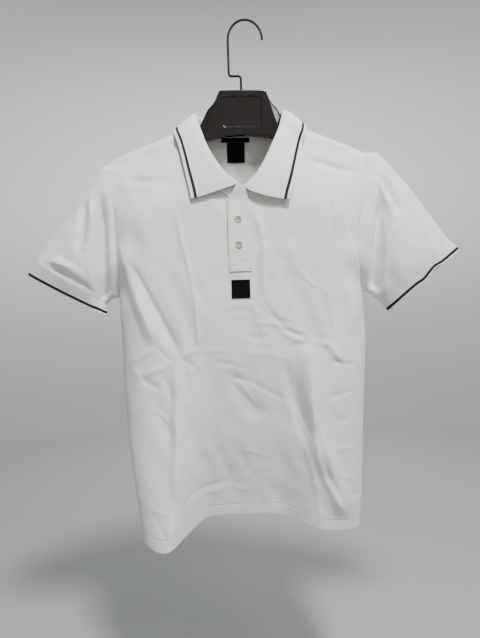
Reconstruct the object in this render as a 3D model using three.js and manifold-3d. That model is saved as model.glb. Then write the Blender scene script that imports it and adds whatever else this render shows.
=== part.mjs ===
// A short-sleeved polo shirt hanging on a moulded clothes hanger.
//
// Frame: millimetres, +Z up. The origin is the point of the hook that rests on
// whatever carries it, under the top of its arch. The shirt's front faces -Y, and
// +X is the wearer's left.
//
// The shirt is one surface, worked out from tables, that is cut along its seams.
// Every piece is a wall round its share of that surface, so neighbours meet edge to
// edge with a small gap, and what is sewn on lies on the same surface, moved out.

import * as THREE from "three";
import { mergeVertices } from "three/addons/utils/BufferGeometryUtils.js";
import Module from "manifold-3d";

// ---------------------------------------------------------------- driving sizes

const CLOTH = 1.5; // wall of the body and sleeves
const RIB = 2.2; // wall of the rib collar and cuffs
const SEAM_GAP = 0.3; // between two pieces sewn together
const SHIRT_X = -20; // middle of the front, along X
const HANGER_X = -8; // middle of the hanger, along X
const HOOK_REST = 14; // where the arch rests on its carrier, above the tables' datum

const ARMPIT_Z = -470;
const FOOT_Z = -883; // the level of the hem's lowest points
const SLIT_TOP_Z = -843; // where the side seams end and the hem slits start
const BACK_DEPTH = 42; // back behind the hanger
const SHOULDER_RADIUS = 16; // of the cloth over the hanger's arms

const PLACKET = { half: 19, slitHalf: 13, top: -315, foot: -435, wall: 1.3 };
const PATCH = { middle: -1, top: -449, size: 31, wall: 1.2 };
const NECK_TAPE = { left: -28, right: 23, top: -186, foot: -194 };
const SIZE_LABEL = { left: -18, right: 14, top: -194.4, foot: -228 };
const LABEL_WALL = 1;
const LAYER_GAP = 0.5; // between a panel and what is sewn flat on it
const BUTTON = { radius: 6.2, thick: 2.6, rim: 0.5, x: -2, first: -348.6, pitch: 42.4 };

const HANGER = {
  halfSpan: 222, // from the middle to the end of an arm
  peakZ: -137.3, // where the lines of the two arms' tops would meet
  slope: 0.4, // of an arm, down for each millimetre out
  tilt: 0.0175, // of the whole hanger on its hook, down towards +X
  underCloth: 4.5, // from the shoulder seam's line down to the plastic
  armDepth: 22,
  armHalf: 11, // half the arm's width, front to back
  plateHalf: 6, // half the neck plate's thickness
  recess: { left: -36, right: 34, top: -121, bottom: -176, corner: 8, depth: 2 },
};
const HOOK = {
  wire: 4.2, archHalf: 30.4, archRise: 36, stemX: -9.3, jogZ: -83.5, bend: 5, socket: 14,
};

// ---------------------------------------------------------------- small helpers

const clamp = (t) => Math.min(1, Math.max(0, t));
const smooth = (t) => clamp(t) ** 2 * (3 - 2 * clamp(t));
const quarter = (t) => Math.sqrt(Math.max(0, 1 - (1 - clamp(t)) ** 2)); // a quarter circle
const mix = (a, b, t) => a + (b - a) * t;
const vec = (x, y, z) => new THREE.Vector3(x, y, z);

// Rows of named columns.
const table = (names, rows) => rows.map((row) => (
  Object.fromEntries(names.map((name, i) => [name, row[i]]))
));

// A smooth curve through one column of a table, along another column of it.
function through(from, along, column) {
  const rows = [...from].sort((a, b) => a[along] - b[along]);
  const slope = (i) => {
    const a = rows[Math.max(0, i - 1)];
    const b = rows[Math.min(rows.length - 1, i + 1)];
    return (b[column] - a[column]) / (b[along] - a[along]);
  };
  return (at) => {
    let i = 0;
    while (i < rows.length - 2 && at > rows[i + 1][along]) i += 1;
    const a = rows[i];
    const b = rows[i + 1];
    const span = b[along] - a[along];
    const t = clamp((at - a[along]) / span);
    const h = t * t * (3 - 2 * t);
    return mix(a[column], b[column], h)
      + span * t * (1 - t) * (slope(i) * (1 - t) - slope(i + 1) * t);
  };
}

// ---------------------------------------------------------------- the body's form
// Below, x is measured from the shirt's middle and y is the depth: ahead of the
// hanger is negative. "right" is the wearer's right, at -X.

// Level cross-sections of the body: the side seams, the two lengthwise ridges of the
// front and the depth between them.
const SECTIONS = table([
  "z", "rightX", "rightY", "ridgeR", "deepR", "flatR", "mid", "flatL", "ridgeL", "deepL", "leftX", "leftY",
], [
  [-470, -215, -3, -110, -50, -30, -52, 40, 115, -50, 211, -3],
  [-560, -211, -5, -112, -52, -34, -50, 42, 118, -47, 215, 0],
  [-640, -208, -9, -116, -54, -40, -42, 45, 120, -44, 211, 2],
  [-720, -202, -16, -121, -60, -50, -30, 50, 122, -40, 207, 4],
  [-800, -191, -27, -127, -72, -60, -12, 55, 125, -34, 204, 7],
  [-883, -176, -40, -133, -86, -68, 5, 58, 127, -25, 198, 8],
]);

// The armhole seams, which the front and the back share.
const ARMHOLE_RIGHT = [
  { z: -238, x: -238 }, { z: -268, x: -226 }, { z: -300, x: -217.5 }, { z: -350, x: -213 },
  { z: -400, x: -212 }, { z: -440, x: -213.5 }, { z: -470, x: -215 },
];
const ARMHOLE_LEFT = [
  { z: -228, x: 229 }, { z: -262, x: 219.5 }, { z: -316, x: 210.5 }, { z: -385, x: 202.5 },
  { z: -440, x: 206.5 }, { z: -470, x: 211 },
];

// Long soft folds. Each runs from (x0, z0) to (x1, z1) on a line bowed sideways by
// bow; it rises out of the cloth by rise, or sinks by it where negative, and fades
// over its reach to the right and to the left.
const FOLD = ["x0", "z0", "x1", "z1", "bow", "rise", "reachR", "reachL"];
const FRONT_FOLDS = table(FOLD, [
  [-212, -375, -98, -590, 0, 6, 25, 21],
  [-190, -420, -140, -560, 0, -3.5, 18, 16],
  [20, -312, 34, -500, 12, 4.5, 13, 15],
  [-110, -318, -74, -572, 8, 3.5, 17, 20],
  [108, -540, 132, -815, -6, 8, 22, 40],
  [112, -700, 176, -870, -3, 9, 20, 28],
  [70, -580, 150, -840, -4, -6, 22, 20],
  [-110, -560, -114, -830, 0, 4, 15, 17],
  [178, -290, 158, -575, 4, -6, 20, 15],
  [196, -360, 186, -560, 2, 4, 19, 18],
  [60, -380, 120, -520, -8, -3, 22, 22],
  [-20, -590, 30, -690, -6, -4, 26, 22],
  [-195, -270, -100, -290, 0, -3, 14, 14],
  [110, -246, 200, -268, 0, -3.5, 13, 13],
]);
const BACK_FOLDS = table(FOLD, [
  [-150, -330, -120, -800, 10, -6, 26, 22],
  [-60, -260, -40, -620, -8, -4, 24, 26],
  [40, -300, 66, -840, 10, -5, 28, 24],
  [150, -320, 128, -760, -8, -6, 22, 26],
  [-10, -640, -16, -890, 4, 4, 26, 30],
  [-185, -430, -96, -620, -6, 4, 20, 16],
  [186, -420, 92, -600, 6, 4, 16, 20],
]);

function foldRise(folds, x, z) {
  let total = 0;
  for (const fold of folds) {
    const run = new THREE.Vector2(fold.x1 - fold.x0, fold.z1 - fold.z0);
    const length = run.length();
    const away = new THREE.Vector2(x - fold.x0, z - fold.z0);
    const t = away.dot(run) / length ** 2;
    if (t <= 0 || t >= 1) continue;
    // A fold runs downwards, so its left side is the side of +X.
    const side = (away.y * run.x - away.x * run.y) / length - fold.bow * 4 * t * (1 - t);
    const reach = side < 0 ? fold.reachR : fold.reachL;
    if (Math.abs(side) >= reach) continue;
    const across = (1 - (side / reach) ** 2) ** 2;
    const along = smooth(t / 0.3) * smooth((1 - t) / 0.25);
    total += fold.rise * across * along;
  }
  return total;
}

const section = Object.fromEntries(
  Object.keys(SECTIONS[0]).map((column) => [column, through(SECTIONS, "z", column)]),
);
const armholeRight = through(ARMHOLE_RIGHT, "z", "x");
const armholeLeft = through(ARMHOLE_LEFT, "z", "x");

// The line that the shoulder seams follow on the hanger's arms, rounded at the neck
// and drooping past the arms' ends.
function shoulderZ(x) {
  const out = x + SHIRT_X - HANGER_X;
  const past = Math.max(0, Math.abs(out) - 215);
  return HANGER.peakZ - HANGER.slope * Math.hypot(out, 20) - HANGER.tilt * out - 0.004 * past ** 2;
}

// Where each panel's side edge runs: the side seam below the armpit, the armhole above.
function edgeX(side, z) {
  if (z < ARMPIT_Z) return side < 0 ? section.rightX(z) : section.leftX(z);
  return side < 0 ? armholeRight(z) : armholeLeft(z);
}

function edgeY(side, face, z) {
  const seam = side < 0 ? section.rightY(z) : section.leftY(z);
  if (z < ARMPIT_Z) return seam;
  const below = shoulderZ(edgeX(side, z)) - z;
  const stand = SHOULDER_RADIUS * quarter(below / SHOULDER_RADIUS) + 12 * smooth(below / 90);
  return seam * smooth((ARMPIT_Z + 60 - z) / 60) + face * stand * quarter((z - ARMPIT_Z) / 60);
}

// How far the panel stands from the hanger's plane away from its edges.
function planeDepth(face, x, z) {
  const low = Math.min(z, ARMPIT_Z);
  let deep = BACK_DEPTH;
  if (face < 0) {
    const ridgeR = section.ridgeR(low);
    const ridgeL = section.ridgeL(low);
    const mid = section.mid(low);
    const flatR = section.flatR(low);
    const flatL = section.flatL(low);
    deep = x < 0
      ? -mix(mid, section.deepR(low), smooth((x - flatR) / (ridgeR - flatR)))
      : -mix(mid, section.deepL(low), smooth((x - flatL) / (ridgeL - flatL)));
  }
  const below = shoulderZ(x) - z;
  return SHOULDER_RADIUS * quarter(below / SHOULDER_RADIUS)
    + (deep - SHOULDER_RADIUS) * smooth(below / 150);
}

// A point of the front (face -1) or back (face 1), at x and z on it.
function bodyPoint(face, x, z) {
  let y = face * planeDepth(face, x, z);
  for (const side of [-1, 1]) {
    const ridge = side < 0 ? section.ridgeR(z) : section.ridgeL(z);
    const round = face > 0 ? 52 : Math.min(62, Math.abs(edgeX(side, z) - ridge) + 8);
    const inset = side * (edgeX(side, z) - x) / round;
    if (inset >= 1) continue;
    const seamRound = quarter(inset);
    const armRound = 1 - (1 - clamp(inset)) ** 2;
    const form = mix(seamRound, armRound, smooth((z - ARMPIT_Z + 30) / 70));
    y = mix(edgeY(side, face, z), y, form);
  }
  const calm = smooth(Math.min(x - edgeX(-1, z), edgeX(1, z) - x) / 14)
    * smooth((shoulderZ(x) - z) / 26);
  const folds = face < 0 ? FRONT_FOLDS : BACK_FOLDS;
  return vec(x, y + face * foldRise(folds, x, z) * calm, z);
}

// ---------------------------------------------------------------- neckline and hem

// The neck seam from the shoulder to the middle of the front, and the back's dip.
const NECK_RIGHT = [
  { step: 0, x: -90, z: shoulderZ(-90) }, { step: 1, x: -89.5, z: -188 }, { step: 2, x: -87, z: -206 },
  { step: 3, x: -79, z: -232 }, { step: 4, x: -64, z: -260 }, { step: 5, x: -43, z: -287 },
  { step: 6, x: -19, z: -307 },
];
const NECK_LEFT = [
  { step: 0, x: 102, z: shoulderZ(102) }, { step: 1, x: 100, z: -189 }, { step: 2, x: 97.6, z: -207 },
  { step: 3, x: 91, z: -233 }, { step: 4, x: 74, z: -262 }, { step: 5, x: 49, z: -290 },
  { step: 6, x: 19, z: -309 },
];
const NECK_STEPS = 6; // columns of cloth between a shoulder and the placket
const NECK_FRONT_Z = -313; // the seam at the middle of the front
const BACK_NECK_DIP = 8;
const BACK_NECK_STEPS = 14;

// The hem's height along x.
const FRONT_HEM = [
  { x: -176, z: -878 }, { x: -155, z: -883 }, { x: -133, z: -884 }, { x: -100, z: -871 },
  { x: -66, z: -861 }, { x: 0, z: -859 }, { x: 60, z: -861 }, { x: 100, z: -873 },
  { x: 127, z: -880 }, { x: 198, z: -886 },
];
const BACK_HEM = [
  { x: -176, z: -889 }, { x: -120, z: -880 }, { x: 0, z: -868 }, { x: 120, z: -878 },
  { x: 198, z: -889 },
];
// How far the back's corners stand off the front's at the foot of the hem slits.
const BACK_FLAPS = [{ side: -1, x: -9, y: 17 }, { side: 1, x: 2, y: 9 }];

const frontHem = through(FRONT_HEM, "x", "z");
const backHem = through(BACK_HEM, "x", "z");

// ---------------------------------------------------------------- grids of cloth
// A grid is rows of points. A panel's rows run from the hem up, and from its right
// edge to its left.

const ROWS_BELOW = 23; // rows of cloth below the armpit
const ROWS_ABOVE = 12; // rows above it, crowded at both ends
const ROWS = ROWS_BELOW + ROWS_ABOVE;
const SLIT_ROWS = 2;
const PLACKET_ROW = ROWS_BELOW + 4; // where the slit under the placket starts
const EDGE_STEPS = [0, 0.03, 0.11, 0.23, 0.38, 0.54, 0.7, 0.85]; // from a side edge to the neck

// How far a row is up the hem's slit, then to the armpit, then to the top edge.
function rowShare(row) {
  if (row <= SLIT_ROWS) return { slit: row / SLIT_ROWS, side: 0, high: 0 };
  if (row <= ROWS_BELOW) {
    return { slit: 1, side: (row - SLIT_ROWS) / (ROWS_BELOW - SLIT_ROWS), high: 0 };
  }
  const t = (row - ROWS_BELOW) / ROWS_ABOVE;
  return { slit: 1, side: 1, high: 0.25 * t + 0.75 * (0.5 - 0.5 * Math.cos(Math.PI * t)) };
}

// The columns of one panel. A shoulder column keeps its share of the way from the side
// edge to the neck; a neck column ends at its own point of the neck seam.
function panelColumns(face) {
  const shoulder = (side) => {
    const neckX = (side < 0 ? NECK_RIGHT : NECK_LEFT)[0].x;
    return EDGE_STEPS.map((share) => ({ side, share, neckX }));
  };
  const frontNeck = (seam) => seam.map(({ step, x, z }) => (
    { topX: x, topZ: z, lowX: mix(seam[0].x, seam[NECK_STEPS].x, step / NECK_STEPS) }
  ));
  const middle = [-PLACKET.slitHalf, 0, PLACKET.slitHalf].map((x) => (
    { topX: x, topZ: NECK_FRONT_Z, lowX: x }
  ));
  const backNeck = Array.from({ length: BACK_NECK_STEPS + 1 }, (_, i) => {
    const t = i / BACK_NECK_STEPS - 0.1 * Math.sin((2 * Math.PI * i) / BACK_NECK_STEPS);
    const x = mix(NECK_RIGHT[0].x, NECK_LEFT[0].x, t);
    const dip = BACK_NECK_DIP * (4 * t * (1 - t)) ** 0.6;
    return { topX: x, topZ: mix(NECK_RIGHT[0].z, NECK_LEFT[0].z, t) - dip, lowX: x };
  });
  const neck = face < 0
    ? [...frontNeck(NECK_RIGHT), ...middle, ...frontNeck(NECK_LEFT).reverse()]
    : backNeck;
  return [...shoulder(-1), ...neck, ...shoulder(1).reverse()];
}

// Below the side seams the back's corners swing away from the front's.
function openSlit(point) {
  for (const { side, x, y } of BACK_FLAPS) {
    const inset = side * (edgeX(side, point.z) - point.x);
    const open = smooth(1 - inset / 45) * clamp((SLIT_TOP_Z - point.z) / 42);
    point.x += x * open;
    point.y += y * open;
  }
  return point;
}

function panelGrid(face) {
  const hem = face < 0 ? frontHem : backHem;
  const columns = panelColumns(face);
  return Array.from({ length: ROWS + 1 }, (_, row) => {
    const { slit, side: below, high } = rowShare(row);
    return columns.map((column) => {
      const { side, share, neckX, topX, topZ, lowX } = column;
      const onShoulder = side !== undefined;
      const tip = onShoulder && (side < 0 ? ARMHOLE_RIGHT : ARMHOLE_LEFT)[0].x;
      const hemX = onShoulder ? mix(edgeX(side, FOOT_Z), neckX, share) : lowX;
      const endZ = onShoulder ? shoulderZ(mix(tip, neckX, share)) : topZ;
      const sideZ = mix(mix(hem(hemX), SLIT_TOP_Z, slit), ARMPIT_Z, below);
      const z = mix(sideZ, endZ, high);
      const x = onShoulder ? mix(edgeX(side, z), neckX, share) : mix(lowX, topX, high ** 2);
      const point = bodyPoint(face, x, z);
      return face > 0 && row < SLIT_ROWS ? openSlit(point) : point;
    });
  });
}

// ---------------------------------------------------------------- sleeves and cuffs
// A sleeve is rings from the armhole to the cuff's seam. Each ring's top and bottom
// points are given, how far it stands out ahead and behind, and how far the underarm
// is tucked up inside it.

const SLEEVE = ["s", "topX", "topZ", "lowX", "lowZ", "ahead", "behind", "tuck"];
const SLEEVE_RIGHT = table(SLEEVE, [
  [0, -238, -238, -215, -470, 27, 27, 0],
  [0.14, -257, -267, -218, -471, 30, 26, 1],
  [0.36, -286, -306, -224, -473, 33, 24, 3],
  [0.6, -317, -346, -231, -476, 34, 21, 3],
  [0.8, -341, -373, -236, -478, 32, 19, 1],
  [1, -363, -401, -240, -480, 28, 16, 0],
]);
const SLEEVE_LEFT = table(SLEEVE, [
  [0, 229, -228, 211, -470, 27, 27, 0],
  [0.12, 246, -229, 215, -472, 30, 26, 1],
  [0.3, 269, -252, 221, -476, 33, 25, 3],
  [0.52, 300, -289, 229, -481, 35, 22, 3],
  [0.76, 334, -338, 237, -486, 34, 19, 1],
  [1, 366, -383, 243, -489, 30, 16, 0],
]);
const CUFF_RIGHT = { topX: -378, topZ: -427, lowX: -240, lowZ: -501, ahead: 19, behind: 9, arch: 0 };
const CUFF_LEFT = { topX: 389, topZ: -405, lowX: 261, lowZ: -509, ahead: 24, behind: 9, arch: 12 };

const SLEEVE_FOLDS_RIGHT = table(FOLD, [
  [-236, -275, -243, -520, 0, -17, 17, 19],
  [-268, -285, -276, -400, 3, -6, 12, 12],
  [-330, -395, -262, -440, 0, 3, 12, 12],
]);
const SLEEVE_FOLDS_LEFT = table(FOLD, [
  [252, -275, 228, -520, -3, -15, 15, 17],
  [244, -265, 276, -350, 0, -5, 12, 12],
  [268, -330, 258, -460, 0, 4, 12, 16],
]);

const SLEEVE_RINGS = 9;
const CUFF_RINGS = 2;
const HALF_RING = ROWS_ABOVE; // steps from the top of a ring to its underarm

// The share of the way down a ring of its point k, and which face it is on.
function aroundRing(k) {
  const onFront = k <= HALF_RING;
  const row = onFront ? ROWS - k : ROWS_BELOW + (k - HALF_RING);
  return { down: 1 - rowShare(row).high, face: onFront ? -1 : 1 };
}

function ringPoint(form, down, face) {
  const stand = (face < 0 ? form.ahead : form.behind) * Math.sqrt(Math.max(0, 4 * down * (1 - down)));
  const tuck = form.tuck * smooth((down - 0.84) / 0.16);
  return vec(mix(form.topX, form.lowX, down), face * stand, mix(form.topZ, form.lowZ, down) + tuck);
}

// The armhole, from the shoulder down the front's edge and up the back's.
function armholeRing(front, back, side) {
  const edge = (row) => (side < 0 ? row[0] : row[row.length - 1]);
  return Array.from({ length: 2 * HALF_RING }, (_, k) => edge(
    k <= HALF_RING ? front[ROWS - k] : back[ROWS_BELOW + k - HALF_RING],
  ));
}

function sleeveGrid(form, folds, armhole) {
  const columns = Object.keys(form[0]).filter((name) => name !== "s");
  const curves = columns.map((name) => [name, through(form, "s", name)]);
  return Array.from({ length: SLEEVE_RINGS + 1 }, (_, ring) => {
    const s = ring / SLEEVE_RINGS;
    const shape = Object.fromEntries(curves.map(([name, curve]) => [name, curve(s)]));
    return armhole.map((seam, k) => {
      if (ring === 0) return seam.clone();
      const { down, face } = aroundRing(k);
      const point = ringPoint(shape, down, face);
      const start = ringPoint(form[0], down, face);
      point.addScaledVector(seam.clone().sub(start), 1 - smooth(s / 0.45));
      if (face < 0) {
        const calm = smooth(s / 0.2) * smooth(down / 0.15) * smooth((1 - down) / 0.1);
        point.y -= foldRise(folds, point.x, point.z) * calm;
      }
      return point;
    });
  });
}

function cuffGrid(edge, sleeve) {
  const seam = sleeve[SLEEVE_RINGS];
  return Array.from({ length: CUFF_RINGS + 1 }, (_, ring) => {
    const t = ring / CUFF_RINGS;
    return seam.map((from, k) => {
      const { down, face } = aroundRing(k);
      const to = ringPoint({ ...edge, tuck: 0 }, down, face);
      if (face < 0) to.z += edge.arch * Math.sin(Math.PI * down);
      return from.clone().lerp(to, t);
    });
  });
}

// ---------------------------------------------------------------- collar
// The strip is sewn on at the neck seam, stands up to its roll line and falls back
// over it to its outer edge. The columns follow the neck seam from the middle of the
// front round by the right shoulder; step counts them.

const COLLAR = table(["step", "rollX", "rollY", "rollZ", "edgeX", "edgeY", "edgeZ", "sag"], [
  [0, 0, -57, -289, -79, -56, -312, 5],
  [2, -8, -56, -282, -80.5, -54.5, -302, 3],
  [3, -22, -53, -269, -83, -52, -290, 1],
  [4, -40, -46, -242, -87, -47.3, -271, 0],
  [5, -53, -36, -214, -93, -38.6, -243, 0],
  [6, -63, -23, -184, -100, -28, -214, 0],
  [7, -69, -13, -163, -106, -26, -196, 0],
  [8, -71, 0, -151, -112, 0, -176, 0],
  [9, -69, 7, -151, -107, 19, -185, 0],
  [10, -64, 12, -151, -100, 25, -191, 0],
  [12, -44, 18, -152, -72, 32, -200, 0],
  [15, 6, 22, -153, 6, 37, -205, 0],
  [18, 56, 18, -151, 84, 32, -200, 0],
  [20, 76, 12, -148, 112, 25, -191, 0],
  [21, 81, 7, -148, 119, 19, -185, 0],
  [22, 83, 0, -148, 124, 0, -175, 0],
  [23, 81, -13, -162, 118.5, -27, -198, 0],
  [24, 74, -23, -186, 112, -29, -217, 0],
  [25, 61, -36, -216, 104, -41, -247, 0],
  [26, 48, -46, -244, 97, -51, -275, 0],
  [27, 33, -53, -270, 92, -57, -294, 2],
  [28, 21, -56, -284, 88, -59, -306, 6],
  [30, 12, -57, -293, 85, -61, -319, 11],
]);
const STAND_STEPS = [0, 0.4, 0.75, 1];
const FALL_STEPS = [0.09, 0.18, 0.3, 0.44, 0.6, 0.8, 1];
const ROLL_TURN = 32; // keeps the roll wide enough for its wall to turn inside it
const NECK_AXIS = { x: 6, y: -12 };

function hermite(a, fromA, b, intoB, t) {
  const t2 = t * t;
  const t3 = t2 * t;
  return a.clone().multiplyScalar(2 * t3 - 3 * t2 + 1)
    .addScaledVector(fromA, t3 - 2 * t2 + t)
    .addScaledVector(b, 3 * t2 - 2 * t3)
    .addScaledVector(intoB, t3 - t2);
}

// The neck seam's points, from the middle of the front round by the right shoulder.
function neckSeam(front, back) {
  const first = EDGE_STEPS.length;
  const last = front[0].length - 1 - first;
  const middle = (first + last) / 2;
  const top = front[ROWS];
  const behind = back[ROWS];
  return [
    ...top.slice(first, middle + 1).reverse(),
    ...behind.slice(first + 1, behind.length - 1 - first),
    ...top.slice(middle, last + 1).reverse(),
  ];
}

function collarGrid(seam) {
  const columns = Object.keys(COLLAR[0]).filter((name) => name !== "step");
  const curves = Object.fromEntries(columns.map((name) => [name, through(COLLAR, "step", name)]));
  const at = (name, step) => curves[name](step);
  const sections = seam.map((foot, step) => {
    const roll = vec(at("rollX", step), at("rollY", step), at("rollZ", step));
    const edge = vec(at("edgeX", step), at("edgeY", step), at("edgeZ", step));
    const out = vec(roll.x - NECK_AXIS.x, roll.y - NECK_AXIS.y, 0).normalize();
    const rise = roll.clone().sub(foot);
    const over = out.clone().multiplyScalar(0.8).add(vec(0, 0, 0.6));
    const fall = edge.clone().sub(roll);
    const stand = STAND_STEPS.map((t) => (
      hermite(foot, rise, roll, over.clone().multiplyScalar(rise.length() * 0.7), t)
    ));
    const turned = FALL_STEPS.map((t) => {
      const point = hermite(roll, over.clone().multiplyScalar(ROLL_TURN), edge, fall, t);
      point.z -= at("sag", step) * Math.sin(Math.PI * t ** 0.7);
      return point;
    });
    return [...stand, ...turned];
  });
  return sections[0].map((_, row) => sections.map((section) => section[row]));
}

// ---------------------------------------------------------------- walls

const pointKey = (p) => [p.x, p.y, p.z].map((v) => Math.round(v * 100)).join();

// The cells of a grid as corner indices, counter-clockwise from outside.
function gridCells(grid, { closed = false, flip = false, keep = () => true }) {
  const wide = grid[0].length;
  const cells = [];
  for (let row = 0; row < grid.length - 1; row += 1) {
    for (let column = 0; column < (closed ? wide : wide - 1); column += 1) {
      if (!keep(row, column)) continue;
      const next = (column + 1) % wide;
      const cell = [[row, column], [row, next], [row + 1, next], [row + 1, column]]
        .map(([r, c]) => r * wide + c);
      cells.push(flip ? cell.reverse() : cell);
    }
  }
  return cells;
}

// Sewn pieces share their normals along a seam, so their walls meet squarely there.
function sharedNormals(pieces) {
  const sums = new Map();
  const zero = vec(0, 0, 0);
  for (const { points, cells } of pieces) {
    for (const [a, b, c, d] of cells) {
      const normal = points[c].clone().sub(points[a]).cross(points[d].clone().sub(points[b]));
      for (const corner of [a, b, c, d]) {
        const key = pointKey(points[corner]);
        if (!sums.has(key)) sums.set(key, vec(0, 0, 0));
        sums.get(key).add(normal);
      }
    }
  }
  return (point) => (sums.get(pointKey(point)) ?? zero).clone().normalize();
}

// A closed wall round a surface: its cells moved out and in, and a rim round them.
function wall({ points, cells, grid, closed }, normalAt, thick, offset = 0) {
  const normals = points.map((point) => normalAt(point));
  const placed = insetEdges(grid, closed);
  const shift = (distance) => placed.map((p, i) => p.clone().addScaledVector(normals[i], distance));
  const outer = shift(offset + thick / 2);
  const inner = shift(offset - thick / 2);
  const count = points.length;
  const open = new Map();
  const faces = [];
  for (const cell of cells) {
    const [a, b, c, d] = cell;
    const across = points[a].distanceTo(points[c]) <= points[b].distanceTo(points[d]);
    for (const [i, j, k] of across ? [[a, b, c], [a, c, d]] : [[a, b, d], [b, c, d]]) {
      faces.push(i, j, k, i + count, k + count, j + count);
    }
    cell.forEach((from, i) => {
      const to = cell[(i + 1) % 4];
      if (!open.delete(`${to},${from}`)) open.set(`${from},${to}`, [from, to]);
    });
  }
  for (const [from, to] of open.values()) {
    // Both pieces at a seam split their rims along the same diagonal.
    const rising = points[from].z < points[to].z;
    const split = rising ? [to, from + count] : [from, to + count];
    faces.push(to, from, split[1], from + count, to + count, split[0]);
  }
  const geometry = new THREE.BufferGeometry();
  const flat = [...outer, ...inner].flatMap((p) => p.toArray());
  geometry.setAttribute("position", new THREE.Float32BufferAttribute(flat, 3));
  geometry.setIndex(faces);
  return geometry.toNonIndexed();
}

// A grid's points with its open edges drawn in by half a seam's gap.
function insetEdges(grid, closed) {
  const last = grid.length - 1;
  const end = grid[0].length - 1;
  const towards = (from, to) => to.clone().sub(from).setLength(SEAM_GAP / 2);
  return grid.flatMap((line, row) => line.map((point, column) => {
    const moved = point.clone();
    if (row === 0) moved.add(towards(point, grid[1][column]));
    if (row === last) moved.add(towards(point, grid[last - 1][column]));
    if (!closed && column === 0) moved.add(towards(point, line[1]));
    if (!closed && column === end) moved.add(towards(point, line[end - 1]));
    return moved;
  }));
}

function piece(grid, options = {}) {
  return { grid, closed: options.closed, points: grid.flat(), cells: gridCells(grid, options) };
}

function ownNormals(shape) {
  return sharedNormals([shape]);
}

// ---------------------------------------------------------------- what is sewn on

// A strip of the front's or back's own surface, from one corner to the other.
function strip(face, { left, right, top, foot }, across, down) {
  const xs = Array.from({ length: across + 1 }, (_, i) => mix(left, right, i / across));
  return Array.from({ length: down + 1 }, (_, row) => (
    xs.map((x) => bodyPoint(face, x, mix(foot, top, row / down)))
  ));
}

// A shirt button: a disc with a raised rim, lathed about Y.
function buttonGeometry() {
  const { radius, thick, rim } = BUTTON;
  const half = thick / 2;
  const profile = [
    [0, -half], [radius * 0.8, -half], [radius, -half * 0.3], [radius, half * 0.4],
    [radius * 0.88, half], [radius * 0.7, half], [radius * 0.6, half - rim], [0, half - rim],
  ].map(([r, h]) => new THREE.Vector2(r, h));
  return new THREE.LatheGeometry(profile, 20).rotateX(Math.PI);
}

// ---------------------------------------------------------------- hanger

// The hanger's top edge from its middle out to where the arms' straight line starts.
const HANGER_TOP = [
  { out: 0, z: -110 }, { out: 37.5, z: -110 }, { out: 41, z: -111.5 }, { out: 44, z: -117.5 },
  { out: 47, z: -125.5 }, { out: 51, z: -132 }, { out: 56, z: -138.5 }, { out: 61, z: -143.8 },
  { out: 65, z: -151 }, { out: 69, z: -159.5 }, { out: 73, z: -167.5 }, { out: 76.5, z: -173 },
  { out: 80, z: -175.5 }, { out: 84, z: -176.5 },
];
const HANGER_STATIONS = [
  0, 20, 37.5, 41, 44, 47, 51, 56, 61, 65, 69, 73, 76.5, 80, 84, 92, 106, 125, 150, 180, 205,
  215, 220, 222,
];
const CORNER_STEPS = 3;

function hangerSection(x) {
  const out = Math.abs(x);
  const straight = HANGER.peakZ - HANGER.slope * Math.hypot(out, 20) - HANGER.underCloth;
  const last = HANGER_TOP[HANGER_TOP.length - 1];
  const top = out < last.out ? through(HANGER_TOP, "out", "z")(out) : straight;
  const archFoot = -189.5 - 8.5 * (out / 64) ** 2;
  const foot = mix(archFoot, straight - HANGER.armDepth, smooth((out - 60) / 40));
  const end = quarter((HANGER.halfSpan - out) / 10);
  const half = mix(HANGER.plateHalf, HANGER.armHalf, smooth((out - 56) / 50)) * mix(0.35, 1, end);
  const middle = (top + foot) / 2;
  const tall = ((top - foot) / 2) * mix(0.45, 1, end);
  const corner = Math.min(half * 0.95, mix(3, 10, smooth((out - 60) / 40)), tall * 0.95);
  const points = [];
  for (const [sy, sz, turn] of [[-1, 1, 1], [-1, -1, 2], [1, -1, 3], [1, 1, 0]]) {
    for (let i = 0; i <= CORNER_STEPS; i += 1) {
      const angle = (turn + i / CORNER_STEPS) * (Math.PI / 2);
      points.push(vec(
        x,
        sy * (half - corner) + corner * Math.cos(angle),
        middle + sz * (tall - corner) + corner * Math.sin(angle),
      ));
    }
  }
  return points;
}

// The hanger's body, lofted through its sections from arm to arm.
function hangerGeometry() {
  const xs = [...HANGER_STATIONS.slice(1).map((x) => -x).reverse(), ...HANGER_STATIONS];
  const rings = xs.map(hangerSection);
  const around = rings[0].length;
  const points = rings.flat();
  const faces = [];
  for (let i = 0; i < xs.length - 1; i += 1) {
    for (let k = 0; k < around; k += 1) {
      const a = i * around + k;
      const b = i * around + ((k + 1) % around);
      faces.push(a, b, b + around, a, b + around, a + around);
    }
  }
  const far = (xs.length - 1) * around;
  for (let k = 1; k < around - 1; k += 1) {
    faces.push(0, k + 1, k, far, far + k, far + k + 1);
  }
  const geometry = new THREE.BufferGeometry();
  const flat = points.flatMap((p) => p.toArray());
  geometry.setAttribute("position", new THREE.Float32BufferAttribute(flat, 3));
  geometry.setIndex(faces);
  return geometry;
}

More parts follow.
